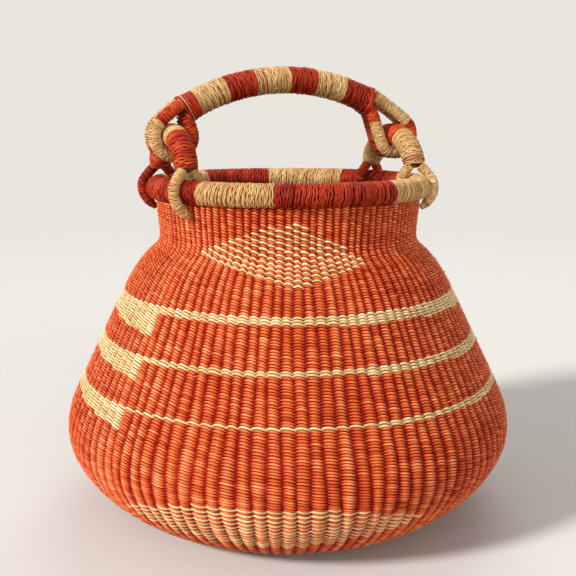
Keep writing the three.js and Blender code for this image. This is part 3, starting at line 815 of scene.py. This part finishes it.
RIM_STATIONS = 721
RIM_SEED = 31
EARS_SEED = 41
HANDLE_SEED = 53

# The plain layer under the turns, against the width and thickness of a turn; its low shade is painted shade
# in the gaps between the turns
UNDER_SPACING = 0.95
UNDER_WIDTH = 0.52
UNDER_DEPTH = 1.5
UNDER_PAINTED_SHADE = 0.1
UNDER_SIDES = 4
UNDER_STATIONS = 19

# Turns over it: their spacing against their width, and how far both ends pass the hidden side, in radians
TURN_SPACING = 0.82
TURN_LAP = 0.25
TURN_SIDES = 6
TURN_STATIONS = 37
# Least distance from a turn's middle to the edge of its wrap, against its width
TURN_MARGIN = 0.4
# How far turns differ in travel and in size
TRAVEL_SPREAD = 0.3
SIZE_SPREAD = 0.1
# Turns wander to both sides and up and down, in waves of about this length
WAVE_LENGTH = 9 * MM
WAVE_RANGE = (0.7, 1.3)
WANDER_RANGE = (0.12, 0.32)
LIFT_SPREAD = 0.1
LIFT_WAVE = 0.16
# Their ends go down and get thinner, on the rim into the nearest hole of the wall
TUCK_PART = 0.06
TUCK_DEPTH = 0.7
TUCK_THINNING = 0.4
HOLE_PULL = 0.8
HOLE_PART = 0.07
# Turns from one straw, how far their shades differ, and how much they lie off the middle shade
TURNS_PER_STRAW = 6
TURN_SHADE_SPREAD = 0.08
TURN_SHADE = -0.22
# Each turn is painted darker along its sides, as painted shade in the grooves between turns
TURN_EDGE_PAINTED_SHADE = 0.3
# A turn's shade drifts on its way round
DRIFT_SHADE = 0.08
DRIFT_RATE = 19
# From one turn's fibres to the next one's
FIBRE_OFFSET = 37 * MM

STALK_SIDES = 6
STALK_STEP = 4 * MM
# Turn of the stalks around their bundle, in radians per metre
STALK_TWIST = 8
STALK_SIZES = (0.9, 1.0)
# From one ring of stalks to the next, against their width
STALK_LAYER = 0.92
STALK_SHADES = (0.1, 0.9)
# Stalks inside thin wraps are painted dark, as painted shade where they show between the turns
HIDDEN_PAINTED_SHADES = (0.05, 0.3)

# Bundles end short of their wraps
EAR_CORE_INSET = 2.5 * MM
EAR_CORE_SLACK = 1 * MM
HANDLE_CORE_INSET = 3 * MM
TIE_CORE_INSET = 7 * MM
# Turns travel less on short and on thin pieces
EAR_LEAN = 0.5
THIN_LEAN = 0.2
# The ears' wraps draw in to both ends, the ties' to the one in the wall
PINCH_LENGTH = 9 * MM
PINCH_LEAST = 0.8 * MM
PINCH_SIDE = 3.6 * MM
PINCH_POWER = 1.5
TAPER_LENGTH = 10 * MM
TAPER_DEPTH = 2.3 * MM
# The handle's wraps spread around its loops at both ends
FLARE_LENGTH = 14 * MM
FLARE_LEAST = 0.9 * MM
FLARE_SIDE = 1.5 * MM
FLARE_POWER = 1.3

# Where a tie passes round the rim, in degrees from the top, and where its end goes into the wall
TIE_DEGREES = (50, 80, 110)
TIE_LEAN = 0.5
TIE_END_DEPTH = 0.5 * MM
TIE_END_DROP = 4.5 * MM
# Loops: play around the ear, and lengths inside and outside the handle's mouth against their radius
LOOP_SLACK = 0.6 * MM
LOOP_INSET = 1.1
LOOP_AHEAD = 0.4
LOOP_BACK = 1.4
LOOP_KNOTS = 10

# One turn of thread over a wrap, at a share of the way along the ear or the handle
THREAD_WIDTH = 0.9 * MM
THREAD_THICKNESS = 0.8 * MM
THREAD_HALF_RUN = 0.5 * MM
THREAD_LIFT = 0.5 * MM
EAR_THREAD_AT = 0.035
HANDLE_THREAD_AT = 0.016


class Wrapping:
    """Straw wound around a line with its ends on a hidden side, and stalks inside it."""

    def __init__(self, line, radius, body, random, hidden=0.0, gap=0.0, hole=0.0, shape=None):
        self.line = line
        self.radius = radius
        self.body = body
        self.random = random
        self.hidden = hidden
        self.gap = gap
        self.hole = hole
        self.shape = shape
        self.straw = settings("basket_wrap")

    def way_round(self, share):
        """Angles of a turn whose ends pass each other on the hidden side, or stop at the gap there."""
        lap = 0 if self.gap else TURN_LAP
        return self.hidden + self.gap - lap + 2 * (math.pi - self.gap + lap) * share

    def lay_turn(self, strands, turn, along, reach, wide, thick, sides, shade, run):
        cos, sin = section(sides)
        point, tangent, outward, _ = self.line.around(along, turn)
        if self.shape:
            reach = reach + self.shape(along, turn)
        centre = point + outward * reach[:, None]
        # Painted shade: darker along the turn's sides, in the grooves between turns
        shade = np.clip(shade, 0, 1)[:, None] - TURN_EDGE_PAINTED_SHADE * (1 - np.abs(cos))
        wide = wide[:, None] * sin
        thick = thick[:, None] * cos
        strands.add_straw(centre, tangent, outward, wide, thick, run, shade)

    def lay_under(self, strands, start, end, radius, width, thickness):
        """A plain layer that closes the view between the turns over it, painted dark as shade in the gaps.
        """
        count = max(round((end - start) / (width * UNDER_SPACING)), 1)
        share = np.linspace(0, 1, UNDER_STATIONS)
        level = 0 * share
        for number in range(count):
            along = start + (end - start) * (number + 0.5) / count + level
            shade = self.random.normal(UNDER_PAINTED_SHADE, STRAW_SPREAD) + level
            reach = radius - UNDER_DEPTH * thickness + level
            wide = width * UNDER_WIDTH + level
            run = share * 2 * math.pi * radius + number * FIBRE_OFFSET
            self.lay_turn(
                strands, self.way_round(share), along, reach, wide, thickness / 2 + level,
                UNDER_SIDES, shade, run,
            )

    def wind(self, strands, start, end, radius, width, thickness, lean):
        """A plain layer, then turns that wander, cross and tuck their ends in."""
        self.lay_under(strands, start, end, radius, width, thickness)
        random = self.random
        count = max(round((end - start) / (width * TURN_SPACING)), 1)
        shades = straw_shades(random, count, TURNS_PER_STRAW, TURN_SHADE_SPREAD) + TURN_SHADE
        share = np.linspace(0, 1, TURN_STATIONS)
        near_end = np.minimum(share, 1 - share)
        tuck = np.clip(1 - near_end / TUCK_PART, 0, 1)
        low, high = start + width * TURN_MARGIN, end - width * TURN_MARGIN
        waves_round = 2 * math.pi * radius / WAVE_LENGTH
        for number in range(count):
            middle = start + (end - start) * (number + 0.5) / count
            room = 2 * max(min(middle - low, high - middle), 0)
            travel = lean * (1 + random.normal(0, TRAVEL_SPREAD))
            travel = math.copysign(min(abs(travel), room), travel)
            swings = 2 * math.pi * (waves_round * random.uniform(*WAVE_RANGE)) * share
            phase = random.uniform(0, 2 * math.pi)
            wander = width * random.uniform(*WANDER_RANGE) * np.sin(swings + phase)
            along = middle + travel * (share - 0.5) + wander
            if self.hole:
                spot = (np.floor(along / self.hole) + 0.5) * self.hole
                along = along + (spot - along) * HOLE_PULL * np.exp(-((near_end / HOLE_PART) ** 2))
            along = np.clip(along, low, high)
            lift = random.normal(0, LIFT_SPREAD)
            lift = lift + LIFT_WAVE * np.sin(swings + phase + random.uniform(0, 6))
            reach = radius + (lift - 0.5) * thickness - tuck * thickness * TUCK_DEPTH
            wide = width / 2 * (1 + random.normal(0, SIZE_SPREAD)) * (1 - TUCK_THINNING * tuck)
            thick = thickness / 2 * (1 + random.normal(0, SIZE_SPREAD)) * (1 - TUCK_THINNING * tuck)
            shade = shades[number] + DRIFT_SHADE * np.sin(share * DRIFT_RATE + phase)
            run = share * 2 * math.pi * radius + number * FIBRE_OFFSET
            self.lay_turn(
                strands, self.way_round(share), along, reach, wide, thick, TURN_SIDES, shade, run
            )

    def bundle(self, strands, start, end, radius, stalk, shades):
        """Lays stalks lengthwise, packed in rings around a middle one."""
        cos, sin = section(STALK_SIDES)
        along = np.linspace(start, end, max(int((end - start) / STALK_STEP), 3))
        reach = radius - stalk / 2
        while reach > -stalk / 2:
            count = max(int(2 * math.pi * max(reach, 0) / stalk), 1)
            for number in range(count):
                turn = 2 * math.pi * number / count + STALK_TWIST * (along - start)
                point, _, outward, aside = self.line.around(along, turn)
                centre = point + outward * max(reach, 0)
                size = stalk / 2 * self.random.uniform(*STALK_SIZES)
                wide, thick = size * cos[None], size * sin[None]
                shade = self.random.uniform(*shades)
                strands.add_straw(centre, outward, aside, wide, thick, along, shade)
            reach -= stalk * STALK_LAYER

    def show_core(self, name, node, inset, radius):
        """The stalks inside, with their ends so far inside the wrap's ends."""
        strands = Strands()
        end = self.line.length - inset
        self.bundle(strands, inset, end, radius, self.straw.stalk, STALK_SHADES)
        show(name, strands, self.body, "bundle", [node])

    def show_block(self, node, straw, start, end, lean):
        strands = Strands()
        self.wind(strands, start, end, self.radius, self.straw.width, self.straw.thickness, lean)
        show(node + "_straw", strands, self.body, straw, [node])

    def show_bands(self, name, shares, lean):
        """Numbered blocks by turns red and natural, from share to share of the line."""
        for number, (start, end) in enumerate(zip(shares, shares[1:])):
            straw = "natural" if number % 2 else "red"
            start_at, end_at = start * self.line.length, end * self.line.length
            self.show_block(f"{name}_{number + 1}", straw, start_at, end_at, lean)

    def show_thin(self, node, straw, start, end, core_end):
        """A block of thin straw with its own stalks inside, painted dark as shade where they show between
        the turns.
        """
        strands = Strands()
        width = self.straw.thin_width
        thickness = self.straw.thin_thickness
        self.bundle(strands, start, core_end, self.radius - thickness, width, HIDDEN_PAINTED_SHADES)
        self.wind(strands, start, end, self.radius, width, thickness, self.straw.lean * THIN_LEAN)
        show(node + "_straw", strands, self.body, straw, [node])

    def show_thread(self, name, node, straw, share):
        """One turn of thread over a wrap."""
        strands = Strands()
        start = share * self.line.length - THREAD_HALF_RUN
        end = share * self.line.length + THREAD_HALF_RUN
        self.wind(strands, start, end, self.radius + THREAD_LIFT, THREAD_WIDTH, THREAD_THICKNESS, 0)
        show(name, strands, self.body, straw, [node])


class BASKET_OT_wrap_rim(Operator):
    """Bundles the stake ends into the rim and wraps it in blocks of two colours"""

    bl_idname = "basket.wrap_rim"
    bl_label = "Wrap rim"

    def execute(self, context):
        body = settings("basket_body")
        turn = settings("basket_pattern").azimuth + np.linspace(0, 2 * math.pi, RIM_STATIONS)
        line = Line(turned(turn, body.rim_radius, body.rim_height), (0, 0, 1))
        outer = body.rim_core_radius + body.rim_wrap_thickness
        rim = Wrapping(
            line, outer, "basket", np.random.default_rng(RIM_SEED), hidden=-math.pi / 2,
            gap=math.asin((body.wall_thickness / 2 + body.clearance) / outer),
            hole=line.length / settings("basket_weave").stakes / 2,
        )
        rim.show_core("rim_core_stalks", "rim_core", 0, body.rim_core_radius)
        rim.show_bands("rim_wrap", RIM_SHARES, rim.straw.lean)
        return {"FINISHED"}


class BASKET_OT_wrap_ears(Operator):
    """Bends, wraps and ties down the two ears"""

    bl_idname = "basket.wrap_ears"
    bl_label = "Wrap ears"

    def execute(self, context):
        body = settings("basket_body")
        random = np.random.default_rng(EARS_SEED)
        plane = math.sqrt(body.rim_radius**2 - body.ear_arch_radius**2)
        foot = math.acos(body.ear_foot_rise / body.ear_arch_radius)
        outer = body.ear_core_radius + body.ear_wrap_thickness
        for name, (side, straws) in EARS.items():
            centre = (side * plane, 0, body.rim_height)
            line = arc_line(centre, (0, 1, 0), body.ear_arch_radius, -foot, foot, (1, 0, 0))

            def pinch(along, turn, line=line):
                near_end = np.minimum(along, line.length - along)
                share = np.clip(1 - near_end / PINCH_LENGTH, 0, 1)
                flank = np.abs(np.cos(turn)) ** PINCH_POWER
                return -share**PINCH_POWER * (PINCH_LEAST + PINCH_SIDE * flank)

            ear = Wrapping(line, outer, "basket", random, shape=pinch)
            ear.show_core(
                f"ear_{name}_stalks", f"ear_{name}_core", EAR_CORE_INSET,
                body.ear_core_radius - EAR_CORE_SLACK,
            )
            block = line.length / len(straws)
            for number, (place, straw) in enumerate(zip(("near", "crown", "far"), straws)):
                node = f"ear_{name}_wrap_{place}"
                ear.show_block(
                    node, straw, number * block, (number + 1) * block, ear.straw.lean * EAR_LEAN
                )
            if name == "right":
                ear.show_thread("ear_right_thread", "ear_right_whipping", "red", EAR_THREAD_AT)
            for leg, leg_side in (("near", -1), ("far", 1)):
                for face, wall_side in (("outside", 1), ("inside", -1)):
                    line = tie_line(side, leg_side, wall_side, foot)

                    def taper(along, turn, line=line):
                        share = np.clip(1 - (line.length - along) / TAPER_LENGTH, 0, 1)
                        return -TAPER_DEPTH * share**PINCH_POWER

                    hidden = math.pi if wall_side > 0 else 0
                    tie = Wrapping(line, body.tie_radius, "basket", random, hidden, shape=taper)
                    straw = TIE_STRAW[name][0 if leg_side < 0 else 1]
                    core_end = line.length - TIE_CORE_INSET
                    tie.show_thin(f"tie_{name}_{leg}_{face}", straw, 0, line.length, core_end)
        return {"FINISHED"}


def tie_line(side, leg_side, wall_side, foot):
    """From an ear's leg over the rim's round and down to the wall's face."""
    body = settings("basket_body")
    wall = Wall()
    rim_outer = body.rim_core_radius + body.rim_wrap_thickness
    orbit = rim_outer + 2 * body.clearance + body.tie_radius
    spread = math.asin(body.ear_arch_radius / body.rim_radius)
    azimuth = side * math.pi / 2 + leg_side * side * spread
    outwards = np.array([math.sin(azimuth), -math.cos(azimuth), 0])
    rim_point = outwards * body.rim_radius + [0, 0, body.rim_height]
    tie_lean = math.tan(math.pi / 2 - foot) * TIE_LEAN
    drop = rim_outer + body.tie_radius

    def place(offset, rise):
        point = rim_point + outwards * wall_side * offset + [0, 0, rise]
        return point + np.array([0, leg_side, 0]) * (-rise * tie_lean)

    face = wall.radius_at(body.rim_height - drop, 0 if wall_side > 0 else body.wall_thickness)
    wall_offset = wall_side * (face - body.rim_radius)
    knots = [place(body.tie_radius + body.clearance / 2, body.ear_foot_rise - body.clearance)]
    for degrees in TIE_DEGREES:
        turn = math.radians(degrees)
        knots.append(place(orbit * math.sin(turn), orbit * math.cos(turn)))
    knots.append(place(wall_offset + body.tie_radius + body.clearance * 2, -drop))
    # The end is tucked between the rows
    knots.append(place(wall_offset - TIE_END_DEPTH, -drop - TIE_END_DROP))
    return smooth_line(knots, (0, leg_side, 0))


class BASKET_OT_wrap_handle(Operator):
    """Wraps the handle's bundle in bands and links its end loops through the ears"""

    bl_idname = "basket.wrap_handle"
    bl_label = "Wrap handle"

    def execute(self, context):
        body = settings("basket_body")
        random = np.random.default_rng(HANDLE_SEED)
        outer = body.handle_core_radius + body.handle_wrap_thickness
        centre = (0, 0, body.handle_top_height - body.handle_arc_radius - outer)
        left = -math.asin(body.handle_left_reach / body.handle_arc_radius)
        right = math.asin(body.handle_right_reach / body.handle_arc_radius)
        line = arc_line(centre, (1, 0, 0), body.handle_arc_radius, left, right, (0, 1, 0))

        def flare(along, turn):
            near_end = np.minimum(along, line.length - along)
            share = np.clip(1 - near_end / FLARE_LENGTH, 0, 1)
            return share**FLARE_POWER * (FLARE_LEAST + FLARE_SIDE * np.abs(np.sin(2 * turn)))

        handle = Wrapping(line, outer, "handle", random, hidden=math.pi, shape=flare)
        handle.show_core("handle_stalks", "handle_core", HANDLE_CORE_INSET, body.handle_core_radius)
        handle.show_bands("handle_wrap", HANDLE_SHARES, -handle.straw.lean)
        handle.show_thread("handle_thread", "handle_whipping", "natural", HANDLE_THREAD_AT)

        for name, (side, _) in EARS.items():
            for place, depth_side in (("near", -1), ("far", 1)):
                line = loop_line(side, left if side < 0 else right, depth_side)
                loop = Wrapping(line, body.loop_radius, "handle", random)
                # The windings start just inside the handle's mouth
                inset = LOOP_INSET * body.loop_radius
                start = inset
                for run, share, straw in LOOP_RUNS[name, place]:
                    end = min(share * line.length, line.length - inset)
                    loop.show_thin(f"loop_{name}_{place}_{run}", straw, start, end, end)
                    start = end
        return {"FINISHED"}


def loop_line(side, end_angle, depth_side):
    """Out of the handle's end, around the ear and back into the handle's end."""
    body = settings("basket_body")
    ear_outer = body.ear_core_radius + body.ear_wrap_thickness
    handle_outer = body.handle_core_radius + body.handle_wrap_thickness
    depth = depth_side * (body.loop_radius + body.clearance / 2)
    gap = ear_outer + LOOP_SLACK + body.loop_radius
    top = math.sqrt((body.ear_arch_radius + gap) ** 2 - depth**2)
    bottom = math.sqrt((body.ear_arch_radius - gap) ** 2 - depth**2)
    ring_radius = (top - bottom) / 2
    plane = math.sqrt(body.rim_radius**2 - body.ear_arch_radius**2)
    ring_centre = np.array([side * plane, depth, body.rim_height + (top + bottom) / 2])
    tangent = np.array([side * math.cos(end_angle), 0, -abs(math.sin(end_angle))])
    normal = np.array([-tangent[2] * side, 0, math.cos(end_angle)])
    end = np.array(
        [
            body.handle_arc_radius * math.sin(end_angle),
            depth,
            body.handle_top_height - body.handle_arc_radius - handle_outer
            + body.handle_arc_radius * math.cos(end_angle),
        ]
    )
    lane = handle_outer - body.loop_radius
    ahead = LOOP_AHEAD * body.loop_radius
    back = LOOP_BACK * body.loop_radius
    outer_exit = end + normal * lane + tangent * ahead
    inner_exit = end - normal * lane + tangent * ahead

    def touch(point, turn):
        across = (point[0] - ring_centre[0]) * side
        rise = point[2] - ring_centre[2]
        share = min(ring_radius / math.hypot(across, rise), 1)
        return math.atan2(rise, across) + turn * math.acos(share)

    first = touch(outer_exit, -1)
    last = touch(inner_exit, 1) - 2 * math.pi
    ring = [
        ring_centre + ring_radius * np.array([side * math.cos(turn), 0, math.sin(turn)])
        for turn in np.linspace(first, last, LOOP_KNOTS)
    ]
    start = end + normal * lane - tangent * back
    finish = end - normal * lane - tangent * back
    return smooth_line([start, outer_exit, *ring, inner_exit, finish], (0, 1, 0))


# Finishes

# Elephant grass, dried, split and rolled into strands: satin, with fine lengthwise fibres
STRAW = {
    "orange": ("Elephant grass, dyed orange and rolled", 0.45),
    "red": ("Elephant grass, dyed red and rolled", 0.45),
    "natural": ("Elephant grass, undyed and rolled", 0.42),
    "bundle": ("Elephant grass stalks, undyed and bundled", 0.7),
}
STRAW_SPECULAR = 0.2
# Three fibres to 50 mm along the straw and 19 to 10 mm across it; real ones are finer and wouldn't show
FIBRE_LENGTH = 50 * MM / 3
FIBRE_WIDTH = 10 * MM / 19
FIBRE_DETAIL = 3.0
FIBRE_ROUGHNESS = 0.6
FIBRE_SHADE = 0.3
FIBRE_GLOSS = (-0.08, 0.1)
FIBRE_BUMP = 0.7
FIBRE_RELIEF = 0.4 * MM
# Uneven dye and sun
PATCH_SIZE = 62.5 * MM
PATCH_DETAIL = 2.0
PATCH_SHADE = 0.06
# Nearly all values of a noise lie between these
NOISE_LOW = 0.3
NOISE_HIGH = 0.7


def add_node(tree, kind, values=None, links=None):
    """Adds a node, sets its values or plain inputs and links the rest of its inputs."""
    node = tree.nodes.new(kind)
    for key, value in (values or {}).items():
        if isinstance(key, int) or key in node.inputs:
            node.inputs[key].default_value = value
        else:
            setattr(node, key, value)
    for key, socket in (links or {}).items():
        tree.links.new(socket, node.inputs[key])
    return node


def empty_tree(item):
    """The node tree of a new material or world, without its first nodes."""
    item.use_nodes = True
    item.node_tree.nodes.clear()
    return item.node_tree


def straw_material(straw):
    """Lengthwise fibres, a shade for each straw with the painted shade and light of the weave and wraps in
    it, and a satin gloss.
    """
    name, roughness = STRAW[straw]
    if name in bpy.data.materials:
        return bpy.data.materials[name]
    colours = settings("basket_colours")
    material = bpy.data.materials.new(name)
    tree = empty_tree(material)
    shade = add_node(tree, "ShaderNodeAttribute", {"attribute_name": "shade"})
    lay = add_node(tree, "ShaderNodeAttribute", {"attribute_name": "lay"})
    scale = (1 / FIBRE_LENGTH, 1 / FIBRE_WIDTH, 1 / FIBRE_WIDTH)
    stretch = add_node(tree, "ShaderNodeMapping", {"Scale": scale}, {"Vector": lay.outputs["Vector"]})
    fibre = add_node(
        tree, "ShaderNodeTexNoise",
        {"Scale": 1.0, "Detail": FIBRE_DETAIL, "Roughness": FIBRE_ROUGHNESS},
        {"Vector": stretch.outputs["Vector"]},
    ).outputs["Fac"]
    place = add_node(tree, "ShaderNodeTexCoord")
    patch = add_node(
        tree, "ShaderNodeTexNoise", {"Scale": 1 / PATCH_SIZE, "Detail": PATCH_DETAIL},
        {"Vector": place.outputs["Object"]},
    ).outputs["Fac"]
    noise_range = {"From Min": NOISE_LOW, "From Max": NOISE_HIGH}
    total = shade.outputs["Fac"]
    for noise, change, clamped in ((fibre, FIBRE_SHADE, False), (patch, PATCH_SHADE, True)):
        part = add_node(
            tree, "ShaderNodeMapRange", {**noise_range, "To Min": -change, "To Max": change},
            {"Value": noise},
        )
        total = add_node(
            tree, "ShaderNodeMath", {"operation": "ADD", "use_clamp": clamped},
            {0: total, 1: part.outputs["Result"]},
        ).outputs["Value"]
    ramp = add_node(tree, "ShaderNodeValToRGB", {}, {"Fac": total})
    steps = ramp.color_ramp.elements
    steps[0].color = (*getattr(colours, straw + "_deep"), 1)
    steps[1].color = (*getattr(colours, straw + "_light"), 1)
    steps.new(MIDDLE_SHADE).color = (*getattr(colours, straw), 1)
    smooth, rough = (roughness + change for change in FIBRE_GLOSS)
    gloss = add_node(
        tree, "ShaderNodeMapRange", {**noise_range, "To Min": smooth, "To Max": rough}, {"Value": fibre}
    )
    bump = add_node(
        tree, "ShaderNodeBump", {"Strength": FIBRE_BUMP, "Distance": FIBRE_RELIEF}, {"Height": fibre}
    )
    shader = add_node(
        tree, "ShaderNodeBsdfPrincipled", {"Specular IOR Level": STRAW_SPECULAR},
        {
            "Base Color": ramp.outputs["Color"],
            "Roughness": gloss.outputs["Result"],
            "Normal": bump.outputs["Normal"],
        },
    )
    add_node(tree, "ShaderNodeOutputMaterial", {}, {"Surface": shader.outputs["BSDF"]})
    return material


# Studio

FLOOR_CORNERS = 96
BOARD_ROUGHNESS = 0.9
BOARD_SPECULAR = 0.1
# The board's brightness to bounced light, and where it fades into the backdrop, in metres
BOUNCE = 0.45
FADE_START = 0.9
FADE_END = 2.2
ROOM_STRENGTH = 0.33
# Name, degrees to the right of the camera, degrees up, degrees wide and strength
LAMPS = (
    ("key_lamp", -56, 29, 10, 3.4),
    ("fill_lamp", 20, 4, 60, 1.6),
    ("back_lamp", 165, 50, 40, 0.6),
)
LAMP_DISTANCE = 2
SENSOR_WIDTH = 36


def studio_material(name, colour):
    """Matt board: pale to the camera and in reflections, less so to bounced light, and seamless far off."""
    material = bpy.data.materials.new(name)
    tree = empty_tree(material)
    rays = add_node(tree, "ShaderNodeLightPath")
    bounced = [part * BOUNCE for part in colour]
    tint = add_node(
        tree, "ShaderNodeMix", {"data_type": "RGBA", 6: (*colour, 1), 7: (*bounced, 1)},
        {0: rays.outputs["Is Diffuse Ray"]},
    )
    board = add_node(
        tree, "ShaderNodeBsdfPrincipled",
        {"Roughness": BOARD_ROUGHNESS, "Specular IOR Level": BOARD_SPECULAR},
        {"Base Color": tint.outputs[2]},
    )
    far = add_node(tree, "ShaderNodeEmission", {"Color": (*colour, 1), "Strength": 1.0})
    place = add_node(tree, "ShaderNodeNewGeometry")
    away = add_node(tree, "ShaderNodeVectorMath", {"operation": "LENGTH"}, {0: place.outputs["Position"]})
    fade = add_node(
        tree, "ShaderNodeMapRange", {"From Min": FADE_START, "From Max": FADE_END},
        {"Value": away.outputs["Value"]},
    )
    shown = add_node(
        tree, "ShaderNodeMath", {"operation": "MULTIPLY"},
        {0: fade.outputs["Result"], 1: rays.outputs["Is Camera Ray"]},
    )
    mix = add_node(
        tree, "ShaderNodeMixShader", {},
        {"Fac": shown.outputs["Value"], 1: board.outputs["BSDF"], 2: far.outputs["Emission"]},
    )
    add_node(tree, "ShaderNodeOutputMaterial", {}, {"Surface": mix.outputs["Shader"]})
    return material


class BASKET_OT_set_stage(Operator):
    """Lays the pale floor and sets the lamps and the camera"""

    bl_idname = "basket.set_stage"
    bl_label = "Set stage"

    def execute(self, context):
        studio = settings("basket_studio")
        scene = context.scene
        scene.view_settings.view_transform = "Standard"
        colour = tuple(studio.floor)

        turn = np.linspace(0, 2 * math.pi, FLOOR_CORNERS + 1)[:-1]
        rim = turned(turn, studio.floor_radius, 0)
        mesh = bpy.data.meshes.new("studio_floor")
        mesh.from_pydata([tuple(point) for point in rim], [], [list(range(len(rim)))])
        mesh.materials.append(studio_material("Matt board, pale", colour))
        floor = bpy.data.objects.new("studio_floor", mesh)
        scene.collection.objects.link(floor)

        world = bpy.data.worlds.new("Soft room light")
        scene.world = world
        tree = empty_tree(world)
        rays = add_node(tree, "ShaderNodeLightPath").outputs
        seen = rays["Is Camera Ray"]
        for kind in ("Is Glossy Ray", "Is Transmission Ray"):
            seen = add_node(
                tree, "ShaderNodeMath", {"operation": "MAXIMUM"}, {0: seen, 1: rays[kind]}
            ).outputs["Value"]
        room = add_node(
            tree, "ShaderNodeBackground", {"Color": (1, 1, 1, 1), "Strength": ROOM_STRENGTH}
        )
        backdrop = add_node(tree, "ShaderNodeBackground", {"Color": (*colour, 1), "Strength": 1.0})
        mix = add_node(
            tree, "ShaderNodeMixShader", {},
            {"Fac": seen, 1: room.outputs["Background"], 2: backdrop.outputs["Background"]},
        )
        add_node(tree, "ShaderNodeOutputWorld", {}, {"Surface": mix.outputs["Shader"]})

        for name, aside, up, spread, strength in LAMPS:
            lamp = bpy.data.lights.new(name, "SUN")
            lamp.angle = math.radians(spread)
            lamp.energy = strength
            item = bpy.data.objects.new(name, lamp)
            scene.collection.objects.link(item)
            azimuth = studio.camera_azimuth + math.radians(aside)
            rise = math.radians(up)
            spot = Vector(turned(np.array(azimuth), math.cos(rise), math.sin(rise)))
            item.location = spot * LAMP_DISTANCE
            item.rotation_euler = (-spot).to_track_quat("-Z", "Y").to_euler()

        camera = bpy.data.cameras.new("camera")
        camera.lens = studio.lens
        camera.sensor_width = SENSOR_WIDTH
        item = bpy.data.objects.new("camera", camera)
        scene.collection.objects.link(item)
        item.location = turned(np.array(studio.camera_azimuth), studio.camera_distance, studio.camera_height)
        item.rotation_euler = Euler((math.pi / 2 - studio.camera_pitch, 0, studio.camera_azimuth))
        scene.camera = item
        return {"FINISHED"}


class BASKET_PT_basket(Panel):
    """Lists the making steps in the sidebar"""

    bl_idname = "BASKET_PT_basket"
    bl_label = "Twined grass basket"
    bl_space_type = "VIEW_3D"
    bl_region_type = "UI"
    bl_category = "Basket"

    def draw(self, context):
        for operator in OPERATORS:
            self.layout.operator(operator.bl_idname)
        for name in GROUPS:
            group = getattr(context.scene, name)
            box = self.layout.box()
            for key in group.bl_rna.properties.keys():
                if key not in ("rna_type", "name"):
                    box.prop(group, key)


OPERATORS = (
    BASKET_OT_weave_wall,
    BASKET_OT_weave_floor,
    BASKET_OT_wrap_rim,
    BASKET_OT_wrap_ears,
    BASKET_OT_wrap_handle,
    BASKET_OT_set_stage,
)
GROUPS = {
    "basket_body": BasketBody,
    "basket_weave": WeaveSizes,
    "basket_pattern": PatternSizes,
    "basket_wrap": WrapStraw,
    "basket_colours": StrawColours,
    "basket_studio": StudioSizes,
}


def register():
    for item in (*GROUPS.values(), *OPERATORS, BASKET_PT_basket):
        bpy.utils.register_class(item)
    for name, group in GROUPS.items():
        setattr(bpy.types.Scene, name, PointerProperty(type=group))


def unregister():
    for name in GROUPS:
        delattr(bpy.types.Scene, name)
    for item in reversed((*GROUPS.values(), *OPERATORS, BASKET_PT_basket)):
        bpy.utils.unregister_class(item)


def main():
    register()
    bpy.ops.basket.weave_wall()
    bpy.ops.basket.weave_floor()
    bpy.ops.basket.wrap_rim()
    bpy.ops.basket.wrap_ears()
    bpy.ops.basket.wrap_handle()
    bpy.ops.basket.set_stage()


if __name__ == "__main__":
    main()
